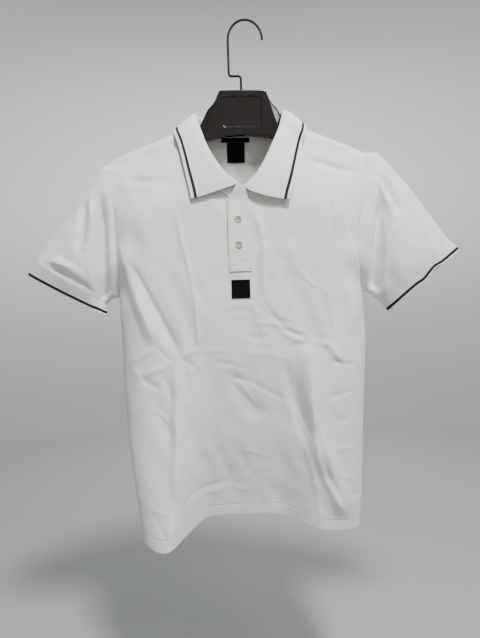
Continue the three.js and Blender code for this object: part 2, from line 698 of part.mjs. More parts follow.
// The shallow rounded recess in the front of the neck plate.
function recessGeometry() {
  const { left, right, top, bottom, corner, depth } = HANGER.recess;
  const shape = new THREE.Shape();
  shape.moveTo(left + corner, bottom);
  shape.lineTo(right - corner, bottom);
  shape.absarc(right - corner, bottom + corner, corner, -Math.PI / 2, 0);
  shape.absarc(right - corner, top - corner, corner, 0, Math.PI / 2);
  shape.absarc(left + corner, top - corner, corner, Math.PI / 2, Math.PI);
  shape.absarc(left + corner, bottom + corner, corner, Math.PI, 1.5 * Math.PI);
  const geometry = new THREE.ExtrudeGeometry(shape, {
    depth: depth * 2, bevelEnabled: false, curveSegments: 4,
  });
  return geometry.rotateX(Math.PI / 2).translate(0, depth - HANGER.plateHalf, 0);
}

const hookPoint = (x, z) => vec(x, 0, z);

// The hook's wire: up out of the plate, sideways through a jog, up and over the arch.
function hookPath() {
  const { wire, archHalf, archRise, stemX, jogZ, bend, socket } = HOOK;
  const springZ = HOOK_REST + wire / 2 - archRise;
  const points = [
    hookPoint(stemX, HANGER_TOP[0].z - socket), hookPoint(stemX, HANGER_TOP[0].z),
    hookPoint(stemX, jogZ - bend), hookPoint(stemX - bend * 0.3, jogZ - bend * 0.3),
    hookPoint(stemX - bend, jogZ), hookPoint(bend - archHalf, jogZ),
    hookPoint(bend * 0.3 - archHalf, jogZ + bend * 0.3), hookPoint(-archHalf, jogZ + bend),
    hookPoint(-archHalf, (jogZ + springZ) / 2),
  ];
  for (let angle = 180; angle >= 0; angle -= 15) {
    const turn = THREE.MathUtils.degToRad(angle);
    points.push(hookPoint(archHalf * Math.cos(turn), springZ + archRise * Math.sin(turn)));
  }
  return new THREE.CatmullRomCurve3(points, false, "centripetal");
}

function hookGeometry() {
  const sides = 10;
  const ring = Array.from({ length: sides }, (_, i) => {
    const angle = ((i + 0.5) / sides) * Math.PI * 2;
    const radius = HOOK.wire / 2 / Math.cos(Math.PI / sides);
    return new THREE.Vector2(radius * Math.cos(angle), radius * Math.sin(angle));
  });
  return new THREE.ExtrudeGeometry(new THREE.Shape(ring), {
    steps: 72, bevelEnabled: false, extrudePath: hookPath(),
  });
}

// ---------------------------------------------------------------- solids

const wasm = await Module();
wasm.setup();

function solid(geometry) {
  const bare = geometry.clone();
  for (const name of ["normal", "uv"]) bare.deleteAttribute(name);
  const merged = mergeVertices(bare, 1e-4);
  return new wasm.Manifold(new wasm.Mesh({
    numProp: 3,
    vertProperties: new Float32Array(merged.attributes.position.array),
    triVerts: new Uint32Array(merged.index.array),
  }));
}

function geometryOf(body) {
  const mesh = body.getMesh();
  const geometry = new THREE.BufferGeometry();
  geometry.setAttribute("position", new THREE.Float32BufferAttribute(mesh.vertProperties, 3));
  geometry.setIndex(new THREE.Uint32BufferAttribute(mesh.triVerts, 1));
  return geometry;
}

function hangerBody() {
  const place = new THREE.Matrix4().makeRotationY(HANGER.tilt)
    .setPosition(HANGER_X - HANGER.peakZ * HANGER.tilt, 0, 0);
  const plate = solid(hangerGeometry()).subtract(solid(recessGeometry()));
  const placed = geometryOf(plate).applyMatrix4(place);
  const bore = HOOK.wire / 2 + 0.5;
  const socket = new THREE.CylinderGeometry(bore, bore, 2 * HOOK.socket + 1, 16)
    .rotateX(Math.PI / 2).translate(HOOK.stemX, 0, HANGER_TOP[0].z);
  return geometryOf(solid(placed).subtract(solid(socket)));
}

// ---------------------------------------------------------------- the shirt

const frontGrid = panelGrid(-1);
const backGrid = panelGrid(1);
const slitColumn = EDGE_STEPS.length + NECK_STEPS + 1;
const uncut = (row, column) => (
  row < PLACKET_ROW || column < slitColumn || column > slitColumn + 1
);
const front = piece(frontGrid, { keep: uncut });
const back = piece(backGrid, { flip: true });
const sleeveRight = piece(
  sleeveGrid(SLEEVE_RIGHT, SLEEVE_FOLDS_RIGHT, armholeRing(frontGrid, backGrid, -1)),
  { closed: true, flip: true },
);
const sleeveLeft = piece(
  sleeveGrid(SLEEVE_LEFT, SLEEVE_FOLDS_LEFT, armholeRing(frontGrid, backGrid, 1)),
  { closed: true },
);
const cuffRight = piece(cuffGrid(CUFF_RIGHT, sleeveRight.grid), { closed: true, flip: true });
const cuffLeft = piece(cuffGrid(CUFF_LEFT, sleeveLeft.grid), { closed: true });
const collar = piece(collarGrid(neckSeam(frontGrid, backGrid)), { flip: true });
const seamNormals = sharedNormals([front, back, sleeveRight, sleeveLeft, cuffRight, cuffLeft, collar]);

const placketArea = { left: -PLACKET.half, right: PLACKET.half, top: PLACKET.top, foot: PLACKET.foot };
const patchArea = {
  left: PATCH.middle - PATCH.size / 2, right: PATCH.middle + PATCH.size / 2,
  top: PATCH.top, foot: PATCH.top - PATCH.size,
};
const placketStrip = piece(strip(-1, placketArea, 4, 9));
const patchStrip = piece(strip(-1, patchArea, 3, 3));
const tapeStrip = piece(strip(1, NECK_TAPE, 5, 1), { flip: true });
const labelStrip = piece(strip(1, SIZE_LABEL, 3, 3), { flip: true });

const onTop = (thick) => CLOTH / 2 + LAYER_GAP + thick / 2;
const sewnOn = (shape, thick, side) => wall(shape, ownNormals(shape), thick, side * onTop(thick));

function button(index) {
  const z = BUTTON.first - index * BUTTON.pitch;
  const seat = bodyPoint(-1, BUTTON.x, z);
  const lift = onTop(PLACKET.wall) + PLACKET.wall / 2 + LAYER_GAP + BUTTON.thick / 2;
  return buttonGeometry().translate(seat.x, seat.y - lift, seat.z);
}

// ---------------------------------------------------------------- the part

const finish = (color, roughness, metalness = 0) => (
  new THREE.MeshStandardMaterial({ color, roughness, metalness })
);
const COTTON = finish(0xdcdad4, 0.9);
const RIB_KNIT = finish(0xdad8d2, 0.92);
const DARK_WEAVE = finish(0x17171a, 0.85);
const PEARL = finish(0xd8cfbf, 0.35);
const PLASTIC = finish(0x2a1f1d, 0.2);
const WIRE = finish(0x1b1b1d, 0.35, 0.6);

const part = new THREE.Group();
const shirt = new THREE.Group();
shirt.position.set(SHIRT_X, 0, -HOOK_REST);
const hanger = new THREE.Group();
hanger.position.z = -HOOK_REST;
part.add(shirt, hanger);

function add(group, name, geometry, material) {
  const mesh = new THREE.Mesh(geometry, material);
  mesh.name = name;
  group.add(mesh);
}

add(shirt, "front_panel", wall(front, seamNormals, CLOTH), COTTON);
add(shirt, "back_panel", wall(back, seamNormals, CLOTH), COTTON);
add(shirt, "sleeve_right", wall(sleeveRight, seamNormals, CLOTH), COTTON);
add(shirt, "sleeve_left", wall(sleeveLeft, seamNormals, CLOTH), COTTON);
add(shirt, "cuff_right", wall(cuffRight, seamNormals, RIB), RIB_KNIT);
add(shirt, "cuff_left", wall(cuffLeft, seamNormals, RIB), RIB_KNIT);
add(shirt, "collar", wall(collar, seamNormals, RIB), RIB_KNIT);
add(shirt, "placket_top", sewnOn(placketStrip, PLACKET.wall, 1), COTTON);
add(shirt, "placket_under", sewnOn(placketStrip, PLACKET.wall, -1), COTTON);
add(shirt, "chest_patch", sewnOn(patchStrip, PATCH.wall, 1), DARK_WEAVE);
add(shirt, "neck_tape", sewnOn(tapeStrip, LABEL_WALL, -1), DARK_WEAVE);
add(shirt, "size_label", sewnOn(labelStrip, LABEL_WALL, -1), DARK_WEAVE);
for (const index of [0, 1]) add(shirt, `button_${index + 1}`, button(index), PEARL);
add(hanger, "hanger_body", hangerBody(), PLASTIC);
add(hanger, "hanger_hook", hookGeometry(), WIRE);

export default part;
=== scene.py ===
"""A white short-sleeved polo shirt hanging on a moulded clothes hanger with a wire hook.

The cloth is one surface, worked out from short tables in millimetres, and cut along its
seams. Each piece starts as a flat grid that is laid on its share of that surface and is
then given its thickness. x is measured from the shirt's middle and y is the depth. face
is -1 for the front, at negative y, and 1 for the back; side is -1 for the wearer's right,
at negative x, and 1 for the left.
"""
from math import cos, hypot, pi, radians, sin

import bmesh
import bpy
import numpy as np
from mathutils import Matrix, Vector


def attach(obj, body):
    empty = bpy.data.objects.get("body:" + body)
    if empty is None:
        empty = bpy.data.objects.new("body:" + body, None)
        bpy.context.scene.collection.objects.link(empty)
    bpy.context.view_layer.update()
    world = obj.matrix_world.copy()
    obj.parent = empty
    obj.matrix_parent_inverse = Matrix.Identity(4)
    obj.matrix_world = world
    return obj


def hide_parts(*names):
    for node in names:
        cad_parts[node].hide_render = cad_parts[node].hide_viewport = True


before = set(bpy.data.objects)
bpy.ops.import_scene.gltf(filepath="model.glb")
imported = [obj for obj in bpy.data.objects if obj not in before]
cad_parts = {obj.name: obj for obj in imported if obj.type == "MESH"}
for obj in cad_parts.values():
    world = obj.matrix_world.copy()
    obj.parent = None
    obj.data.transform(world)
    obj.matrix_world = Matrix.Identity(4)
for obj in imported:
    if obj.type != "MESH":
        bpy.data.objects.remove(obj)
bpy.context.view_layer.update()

# ------------------------------------------------------------------------- camera

CAMERA_AT = (-0.0241, -0.850, -0.5284)
CAMERA_ROLL = 1.8  # degrees
LENS = 27.03  # millimetres, on a 36 mm sensor


def add_object(name, data):
    shown = bpy.data.objects.new(name, data)
    bpy.context.collection.objects.link(shown)
    return shown


camera = add_object("camera", bpy.data.cameras.new("camera"))
camera.data.lens = LENS
camera.data.clip_start = 0.02
camera.location = CAMERA_AT
camera.rotation_euler = (radians(90), radians(CAMERA_ROLL), 0)
bpy.context.scene.camera = camera

# ------------------------------------------------------------------- driving sizes

MM = 0.001
SIDES = (-1, 1)
SHIRT_X = -20  # middle of the shirt's front, in the frame
HANGER_X = -8  # middle of the hanger, in the frame
HOOK_REST = 14  # the frame's origin is this far above the tables' datum

ARMPIT_Z = -470
FOOT_Z = -883
SLIT_TOP_Z = -843
BACK_DEPTH = 42

# How the cloth rounds over the shoulders and in towards its edges, and how near an edge
# its folds and its creases fade out.
SHOULDER = {"radius": 16, "deepen": 150, "arm_end": 215, "droop": 0.004}
ARMHOLE = {"stand": 12, "grow": 90, "open": 64, "ease": 0.75, "join": 60}
EDGE = {"back_reach": 52, "front_reach": 62, "past_ridge": 8, "change": 30, "changing": 70}
FADE = {"fold_side": 14, "fold_top": 26, "crease_side": 6, "crease_top": 18}

CLOTH = 1.2  # thickness of the body and sleeves
RIB = 2.0  # thickness of the collar and cuffs
HEM_TURN = 18  # depth of the turned and stitched hem
CUFF_STRIPE, COLLAR_STRIPE = 5.5, 8  # from the outer edge to the dark line's middle

PLACKET = {"half": 19, "slit": 13, "top": -315, "foot": -435, "box": 16, "whole": 6,
           "wall": 1.1, "off": 1.9, "edge_stitch": 2.2, "foot_stitch": 2, "lift_right": 2.3,
           "lift_left": -0.4, "lifting": 24}
TAB = {"foot_right": -19, "foot_left": 16, "foot_z": -315.5, "top_right": -3.5, "top_left": 13,
       "right_z": -290.5, "left_z": -293, "top_y": -57.6, "off": 1.6, "belly": 1.2, "bow": 0.8,
       "gather": 0.9, "wall": 1.6}
PATCH = {"left": -16.5, "right": 14.5, "top": -449, "foot": -480, "wall": 0.9}
NECK_TAPE = {"left": -28, "right": 23, "top": -186, "foot": -194, "wall": 0.8}
SIZE_LABEL = {"left": -18, "right": 14, "top": -194.4, "foot": -228, "wall": 0.8}
SEWN_OFF = 1.6  # from a panel's middle to the middle of what is sewn on it
BUTTON = {"radius": 6.2, "thick": 2.6, "off": 2.6, "x": -2, "first": -348.6, "pitch": 42.4,
          "round": 0.35, "rim": 0.18, "slope": 0.1, "dish": 0.5}

HANGER = {"half_span": 222, "peak": -137.3, "slope": 0.4, "round": 20, "tilt": 0.0175,
          "under_cloth": 4.5, "arm_depth": 22, "arm_half": 11, "plate_half": 6}
RECESS = {"left": -36, "right": 34, "top": -121, "bottom": -176, "corner": 8, "depth": 2,
          "wall": 1.2, "end": 50}
FLARE = {"crease": 43, "splay": 0.33, "from_z": -118, "slope": 0.33, "most": 3.5, "end": 70,
         "ending": 30}
HOOK = {"wire": 4.2, "arch_half": 30.4, "arch_rise": 36, "stem_x": -9.3, "jog": -83.5,
        "bend": 5, "foot": -125}

# ------------------------------------------------------------------- small helpers


def clamp(t):
    return np.clip(t, 0, 1)


def smooth(t):
    t = clamp(t)
    return t * t * (3 - 2 * t)


def quarter(t):
    return np.sqrt(np.maximum(0, 1 - (1 - clamp(t)) ** 2))


def mix(a, b, t):
    return a + (b - a) * t


def evenly(cells):
    """Even shares from 0 to 1."""
    return np.linspace(0, 1, cells + 1)


def table(names, rows):
    """Columns by name, from rows of numbers."""
    return {name: np.array([row[i] for row in rows], float) for i, name in enumerate(names)}


def through(rows, along, column):
    """A smooth curve through one column of a table, along another column of it."""
    order = np.argsort(rows[along])
    at, to = rows[along][order], rows[column][order]
    last = len(at) - 1
    before, after = np.maximum(np.arange(last + 1) - 1, 0), np.minimum(np.arange(last + 1) + 1, last)
    slope = (to[after] - to[before]) / (at[after] - at[before])

    def curve(x):
        i = np.clip(np.searchsorted(at, x, side="left") - 1, 0, last - 1)
        span = at[i + 1] - at[i]
        t = clamp((x - at[i]) / span)
        bend = span * t * (1 - t) * (slope[i] * (1 - t) - slope[i + 1] * t)
        return mix(to[i], to[i + 1], smooth(t)) + bend

    return curve


def curves(rows, along):
    return {name: through(rows, along, name) for name in rows if name != along}


def point(x, y, z):
    return np.stack(np.broadcast_arrays(x, y, z), axis=-1).astype(float)


# ------------------------------------------------------------------ the body's form

# Level cross-sections of the body: the side seams, the two lengthwise ridges of the
# front and the depth between them.
SECTIONS = table(
    ["z", "seamXR", "seamYR", "ridgeR", "deepR", "flatR", "mid", "flatL", "ridgeL", "deepL",
     "seamXL", "seamYL"],
    [
        [-470, -215, -3, -110, -50, -30, -52, 40, 115, -50, 211, -3],
        [-560, -211, -5, -112, -52, -34, -50, 42, 118, -47, 215, 0],
        [-640, -208, -9, -116, -54, -40, -42, 45, 120, -44, 211, 2],
        [-720, -202, -16, -121, -60, -50, -30, 50, 122, -40, 207, 4],
        [-800, -191, -27, -127, -72, -60, -12, 55, 125, -34, 204, 7],
        [-883, -176, -40, -133, -86, -68, 5, 58, 127, -25, 198, 8],
    ],
)
section = curves(SECTIONS, "z")

ARMHOLE_RIGHT = table(["z", "x"], [
    [-238, -238], [-268, -226], [-300, -217.5], [-350, -213], [-400, -212], [-440, -213.5],
    [-470, -215],
])
ARMHOLE_LEFT = table(["z", "x"], [
    [-228, 229], [-262, 219.5], [-316, 210.5], [-385, 202.5], [-440, 206.5], [-470, 211],
])
armhole = {-1: through(ARMHOLE_RIGHT, "z", "x"), 1: through(ARMHOLE_LEFT, "z", "x")}
ARMHOLE_TIP = {-1: -238, 1: 229}

FOLD_ENDS = (0.3, 0.25)  # the shares of a fold over which it rises and fades
CREASE_END = {"share": 0.3, "most": 30, "left": 0.12}  # how a crease tapers at its ends
CRUMPLE = {"slant": 0.35, "stretch": 0.45, "across": 0.9, "large": 34, "small": 17}

# Long soft folds: x0, z0, x1, z1, bow, rise, reach to the right and reach to the left. Each
# runs from (x0, z0) to (x1, z1), bowed sideways, and sinks where its rise is negative.
FRONT_FOLDS = [
    [-214, -362, -140, -566, 0, 4.5, 22, 24],
    [-196, -400, -98, -590, 0, -2.5, 22, 16],
    [20, -312, 34, -500, 12, 1.5, 16, 18],
    [-110, -318, -74, -572, 8, 1.5, 20, 24],
    [108, -540, 132, -815, -6, 8, 22, 40],
    [112, -700, 176, -870, -3, 9, 20, 28],
    [70, -580, 150, -840, -4, -6, 22, 20],
    [-110, -560, -114, -830, 0, 4, 15, 17],
    [178, -290, 158, -575, 4, -6, 20, 15],
    [196, -360, 186, -560, 2, 4, 19, 18],
    [60, -380, 120, -520, -8, -3, 22, 22],
    [-20, -590, 30, -690, -6, -4, 26, 22],
    [-195, -270, -100, -290, 0, -3, 14, 14],
    [110, -246, 200, -268, 0, -3.5, 13, 13],
]
BACK_FOLDS = [
    [-150, -330, -120, -800, 10, -6, 26, 22],
    [-60, -260, -40, -620, -8, -4, 24, 26],
    [40, -300, 66, -840, 10, -5, 28, 24],
    [150, -320, 128, -760, -8, -6, 22, 26],
    [-10, -640, -16, -890, 4, 4, 26, 30],
    [-185, -430, -96, -620, -6, 4, 20, 16],
    [186, -420, 92, -600, 6, 4, 16, 20],
]


def fold_rise(folds, x, z):
    """How far the long folds lift the cloth at x and z."""
    total = np.zeros(np.broadcast(x, z).shape)
    for x0, z0, x1, z1, bow, rise, reach_right, reach_left in folds:
        run_x, run_z = x1 - x0, z1 - z0
        length = hypot(run_x, run_z)
        t = ((x - x0) * run_x + (z - z0) * run_z) / length ** 2
        side = ((z - z0) * run_x - (x - x0) * run_z) / length - bow * 4 * t * (1 - t)
        across = (1 - clamp(np.abs(side) / np.where(side < 0, reach_right, reach_left)) ** 2) ** 2
        total += rise * across * smooth(t / FOLD_ENDS[0]) * smooth((1 - t) / FOLD_ENDS[1])
    return total


def shoulder_z(x):
    """The line of the shoulder seams on the hanger's arms."""
    out = x + SHIRT_X - HANGER_X
    past = np.maximum(0, np.abs(out) - SHOULDER["arm_end"])
    line = HANGER["peak"] - HANGER["slope"] * np.hypot(out, HANGER["round"]) - HANGER["tilt"] * out
    return line - SHOULDER["droop"] * past ** 2


def of_side(name, side, z):
    """One side's column of the cross-sections at z."""
    return section[name + ("R" if side < 0 else "L")](z)


def edge_x(side, z):
    """A panel's side edge: the side seam below the armpit and the armhole above it."""
    return np.where(z < ARMPIT_Z, of_side("seamX", side, z), armhole[side](z))


def from_edges(x, z):
    return np.minimum(x - edge_x(-1, z), edge_x(1, z) - x)


def shoulder_round(below):
    """The depth of the rounding just below the shoulder line."""
    return SHOULDER["radius"] * quarter(below / SHOULDER["radius"])


def edge_y(side, face, z):
    """The depth of a panel's side edge, which opens above the armpit for the sleeve."""
    seam = of_side("seamY", side, z)
    below = shoulder_z(edge_x(side, z)) - z
    stand = shoulder_round(below) + ARMHOLE["stand"] * smooth(below / ARMHOLE["grow"])
    opening = smooth((z - ARMPIT_Z) / ARMHOLE["open"]) ** ARMHOLE["ease"]
    joined = smooth((ARMPIT_Z + ARMHOLE["join"] - z) / ARMHOLE["join"])
    return np.where(z < ARMPIT_Z, seam, seam * joined + face * stand * opening)


def plane_depth(face, x, z):
    """How far a panel stands from the hanger's plane away from its edges."""
    low = np.minimum(z, ARMPIT_Z)
    deep = BACK_DEPTH
    if face < 0:
        halves = []
        for side in SIDES:
            flat, ridge, most = (of_side(name, side, low) for name in ("flat", "ridge", "deep"))
            halves.append(mix(section["mid"](low), most, smooth((x - flat) / (ridge - flat))))
        deep = -np.where(x < 0, *halves)
    below = shoulder_z(x) - z
    return shoulder_round(below) + (deep - SHOULDER["radius"]) * smooth(below / SHOULDER["deepen"])


def lattice_noise(x, z, cell, seed):
    """Smooth noise from -1 to 1 over a lattice of cells."""
    column, row = np.floor(x / cell), np.floor(z / cell)
    across, up = smooth(x / cell - column), smooth(z / cell - row)

    def corner(right, above):
        turn = np.sin((column + right) * 127.1 + (row + above) * 311.7 + seed * 74.7) * 43758.5
        return turn - np.floor(turn)

    low = mix(corner(0, 0), corner(1, 0), across)
    return 2 * mix(low, mix(corner(0, 1), corner(1, 1), across), up) - 1


def crumple(x, z, seed):
    """The small unevenness of worn cloth: soft ridges that run mostly downwards."""
    slant, down = x + CRUMPLE["slant"] * z, z * CRUMPLE["stretch"]
    large = np.abs(lattice_noise(slant, down, CRUMPLE["large"], seed))
    small = np.abs(lattice_noise(slant - CRUMPLE["across"] * z, down, CRUMPLE["small"], seed + 3))
    return 0.8 - 2.0 * large * (0.4 + large) - 0.75 * small


def body_point(face, x, z, creases=()):
    """A point of the front or the back, at x and z on it."""
    x, z = np.asarray(x, float), np.asarray(z, float)
    y = face * plane_depth(face, x, z)
    for side in SIDES:
        edge = edge_x(side, z)
        reach = EDGE["back_reach"]
        if face < 0:
            from_ridge = np.abs(edge - of_side("ridge", side, z))
            reach = np.minimum(EDGE["front_reach"], from_ridge + EDGE["past_ridge"])
        inset = side * (edge - x) / reach
        arm_round = 1 - (1 - clamp(inset)) ** 2
        change = smooth((z - ARMPIT_Z + EDGE["change"]) / EDGE["changing"])
        form = mix(quarter(inset), arm_round, change)
        y = np.where(inset < 1, mix(edge_y(side, face, z), y, form), y)
    inside, below = from_edges(x, z), shoulder_z(x) - z
    folds = FRONT_FOLDS if face < 0 else BACK_FOLDS
    fade = smooth(inside / FADE["fold_side"])
    lift = fold_rise(folds, x, z) * fade * smooth(below / FADE["fold_top"])
    if creases:
        small = crease_rise(creases, x, z) + crumple(x, z, face + 5)
        lift = lift + small * smooth(inside / FADE["crease_side"]) * smooth(below / FADE["crease_top"])
    return point(x, y + face * lift, z)


def crease_rise(creases, x, z):
    """The sharper creases: each follows a line of points, rises or sinks, reaches a little to
    its right and its left, and tapers off at its ends. crisp runs from 0, a soft crest, by 1, a
    keen one, to 2, two flat facets."""
    total = np.zeros(np.broadcast(x, z).shape)
    for line, rise, reach_right, reach_left, crisp in creases:
        ends = np.array(line, float)
        runs = np.diff(ends, axis=0)
        lengths = np.hypot(runs[:, 0], runs[:, 1])
        whole = lengths.sum()
        reach_most = max(reach_right, reach_left)
        low, high = ends.min(axis=0) - reach_most, ends.max(axis=0) + reach_most
        near = (x > low[0]) & (x < high[0]) & (z > low[1]) & (z < high[1])
        if not near.any():
            continue
        px, pz = np.broadcast_to(x, total.shape)[near], np.broadcast_to(z, total.shape)[near]
        best = np.full(px.shape, 1e9)
        side = np.zeros(px.shape)
        along = np.zeros(px.shape)
        start = 0.0
        for (ax, az), (rx, rz), length in zip(ends[:-1], runs, lengths):
            t = clamp(((px - ax) * rx + (pz - az) * rz) / length ** 2)
            away = np.hypot(px - ax - rx * t, pz - az - rz * t)
            turn = (pz - az) * rx - (px - ax) * rz
            closer = away < best
            best = np.where(closer, away, best)
            side = np.where(closer, turn, side)
            along = np.where(closer, start + t * length, along)
            start += length
        share = clamp(best / np.where(side < 0, reach_right, reach_left))
        soft = mix((1 - share ** 2) ** 2, (1 - share) ** 2, min(crisp, 1))
        across = mix(soft, 1 - share, max(crisp - 1, 0))
        taper = min(CREASE_END["share"] * whole, CREASE_END["most"])
        end_room = np.minimum(along, whole - along) / taper
        total[near] += rise * across * mix(CREASE_END["left"], 1, smooth(end_room))
    return total


# ----------------------------------------------------------------- neckline and hem

NECK_RIGHT = table(["step", "x", "z"], [
    [0, -90, float(shoulder_z(-90))], [1, -89.5, -188], [2, -87, -206], [3, -79, -232],
    [4, -64, -260], [5, -43, -287], [6, -19, -307],
])
NECK_LEFT = table(["step", "x", "z"], [
    [0, 102, float(shoulder_z(102))], [1, 100, -189], [2, 97.6, -207], [3, 91, -233],
    [4, 74, -262], [5, 49, -290], [6, 19, -309],
])
NECK_STEPS = 6
NECK_FRONT_Z = -313
NECK_FRONT_RISE = 4  # from the slit's edge to the placket's
BACK_NECK_DIP = 8
BACK_NECK_ROUND = 0.6
BACK_NECK_BUNCH = 0.1  # how far its columns crowd towards the shoulders
BACK_NECK_STEPS = 14

FRONT_HEM = table(["x", "z"], [
    [-176, -878], [-155, -883], [-133, -884], [-100, -871], [-66, -861], [0, -859],
    [60, -861], [100, -873], [127, -880], [198, -886],
])
BACK_HEM = table(["x", "z"], [[-176, -889], [-120, -880], [0, -868], [120, -878], [198, -889]])
hem_z = {-1: through(FRONT_HEM, "x", "z"), 1: through(BACK_HEM, "x", "z")}
BACK_FLAPS = [(-1, -9, 17), (1, 2, 9)]  # side, and how far a corner swings in x and y
FLAP = {"wide": 45, "tall": 42}  # how much of the back swings there

neck_curve = {-1: curves(NECK_RIGHT, "step"), 1: curves(NECK_LEFT, "step")}
NECK_X = {-1: NECK_RIGHT["x"][0], 1: NECK_LEFT["x"][0]}


def back_neck(t):
    """The back's neck seam at a share t of its way from the right shoulder."""
    t = t - BACK_NECK_BUNCH * np.sin(2 * pi * t)
    dip = BACK_NECK_DIP * np.maximum(0, 4 * t * (1 - t)) ** BACK_NECK_ROUND
    return mix(NECK_X[-1], NECK_X[1], t), mix(NECK_RIGHT["z"][0], NECK_LEFT["z"][0], t) - dip


SLIT_CELLS, SIDE_CELLS, ARM_CELLS = 16, 146, 96
ARM_EVEN = 0.25  # how evenly the rows beside an armhole are spread


def row_shares():
    """How far each row is up the slit, then up to the armpit, then to the top edge."""
    slit = np.concatenate([evenly(SLIT_CELLS), np.ones(SIDE_CELLS + ARM_CELLS)])
    side = np.concatenate([
        np.zeros(SLIT_CELLS + 1), evenly(SIDE_CELLS)[1:], np.ones(ARM_CELLS)])
    t = evenly(ARM_CELLS)[1:]
    high = ARM_EVEN * t + (1 - ARM_EVEN) * (0.5 - 0.5 * np.cos(pi * t))
    return slit, side, np.concatenate([np.zeros(SLIT_CELLS + SIDE_CELLS + 1), high])


ARMPIT_ROW = SLIT_CELLS + SIDE_CELLS
TOP_ROW = ARMPIT_ROW + ARM_CELLS
SHOULDER_CELLS, NECK_CELLS, MIDDLE_CELLS, BACK_NECK_CELLS = 50, 34, 14, 80


def panel_columns(face):
    """For each column: its side, its share of the way from that side's edge to the neck,
    and where it starts and ends when it runs up to the neck instead."""
    shares = evenly(SHOULDER_CELLS)[:-1]
    columns = [(-1, share, 0, 0, 0) for share in shares]
    if face < 0:
        steps = np.linspace(0, NECK_STEPS, NECK_CELLS + 1)
        lines = {}
        for side in SIDES:
            low = mix(NECK_X[side], side * PLACKET["half"], steps / NECK_STEPS)
            line = zip(neck_curve[side]["x"](steps), neck_curve[side]["z"](steps), low)
            lines[side] = [(0, 0, x, z, start) for x, z, start in line]
        for x in np.linspace(-PLACKET["half"], PLACKET["half"], MIDDLE_CELLS + 1)[1:-1]:
            dip = smooth((abs(x) - PLACKET["slit"]) / (PLACKET["half"] - PLACKET["slit"]))
            lines[-1].append((0, 0, x, NECK_FRONT_Z + NECK_FRONT_RISE * dip, x))
        columns += lines[-1] + lines[1][::-1]
    else:
        t = evenly(BACK_NECK_CELLS)
        columns += [(0, 0, x, z, x) for x, z in zip(*back_neck(t))]
    columns += [(1, share, 0, 0, 0) for share in shares[::-1]]
    return np.array(columns, float)


def panel_grid(face, creases):
    """Rows of points from the hem up, each from the right edge to the left, with how far
    each point is from the hem's stitch line or from a sewn side edge."""
    slit, side_share, high = (share[:, None] for share in row_shares())
    sign, share, top_x, top_z, low_x = (column[None, :] for column in panel_columns(face).T)

    def of_column(right, left):
        return np.where(sign < 0, right, left)

    neck = of_column(NECK_X[-1], NECK_X[1])
    foot = of_column(edge_x(-1, FOOT_Z), edge_x(1, FOOT_Z))
    tip = of_column(ARMHOLE_TIP[-1], ARMHOLE_TIP[1])
    hem_x = np.where(sign == 0, low_x, mix(foot, neck, share))
    end_z = np.where(sign == 0, top_z, shoulder_z(mix(tip, neck, share)))
    side_z = mix(mix(hem_z[face](hem_x), SLIT_TOP_Z, slit), ARMPIT_Z, side_share)
    z = mix(side_z, end_z, high)
    edge = of_column(edge_x(-1, z), edge_x(1, z))
    x = np.where(sign == 0, mix(low_x, top_x, high ** 2), mix(edge, neck, share))
    grid = body_point(face, x, z, creases)
    if face > 0:
        for side, swing_x, swing_y in BACK_FLAPS:
            inset = side * (edge_x(side, z) - x)
            swing = smooth(1 - inset / FLAP["wide"]) * clamp((SLIT_TOP_Z - z) / FLAP["tall"])
            grid[..., 0] += swing_x * swing
            grid[..., 1] += swing_y * swing
    from_hem, from_side = z - hem_z[face](x) - HEM_TURN, from_edges(x, z)
    return grid, {"stitch": np.where(np.abs(from_hem) < from_side, from_hem, from_side)}


# ---------------------------------------------------------------- sleeves and cuffs

SLEEVE = ["s", "topX", "topZ", "lowX", "lowZ", "ahead", "behind", "tuck"]
SLEEVES = {
    -1: table(SLEEVE, [
        [0, -238, -238, -215, -470, 27, 27, 0],
        [0.14, -257, -267, -218, -471, 30, 26, 1],
        [0.36, -286, -306, -224, -473, 33, 24, 3],
        [0.6, -317, -346, -231, -476, 34, 21, 3],
        [0.8, -341, -373, -236, -478, 32, 19, 1],
        [1, -363, -401, -240, -480, 28, 16, 0],
    ]),
    1: table(SLEEVE, [
        [0, 229, -228, 211, -470, 27, 27, 0],
        [0.12, 246, -229, 215, -472, 30, 26, 1],
        [0.3, 269, -252, 221, -476, 33, 25, 3],
        [0.52, 300, -289, 229, -481, 35, 22, 3],
        [0.76, 334, -338, 237, -486, 34, 19, 1],
        [1, 366, -383, 243, -489, 30, 16, 0],
    ]),
}
CUFFS = {
    -1: {"topX": -378, "topZ": -427, "lowX": -240, "lowZ": -501, "ahead": 19, "behind": 9},
    1: {"topX": 389, "topZ": -405, "lowX": 261, "lowZ": -509, "ahead": 24, "behind": 9},
}
SLEEVE_FOLDS = {
    -1: [
        [-236, -275, -243, -520, 0, -17, 17, 19],
        [-268, -285, -276, -400, 3, -6, 12, 12],
        [-330, -395, -262, -440, 0, 3, 12, 12],
    ],
    1: [
        [252, -275, 228, -520, -3, -15, 15, 17],
        [244, -265, 276, -350, 0, -5, 12, 12],
        [268, -330, 258, -460, 0, 4, 12, 16],
    ],
}
SLEEVE_CELLS, CUFF_CELLS = 66, 10
SEAM_REACH = 0.45  # the share of a sleeve over which its armhole's shape fades
TUCK_FROM, TUCK_OVER = 0.84, 0.16
FOLD_FADE = (0.2, 0.15, 0.1)
CREASE_FADE = (0.06, 0.06, 0.06)
BACK_CREASED = 0.6  # how strong a sleeve's creases are on its back
CUFF_ARCH = 7
CUFF_WAVES = [[4, 0.4, 0.08], [-2.5, 0.56, 0.06]]  # height, share of the way down, width


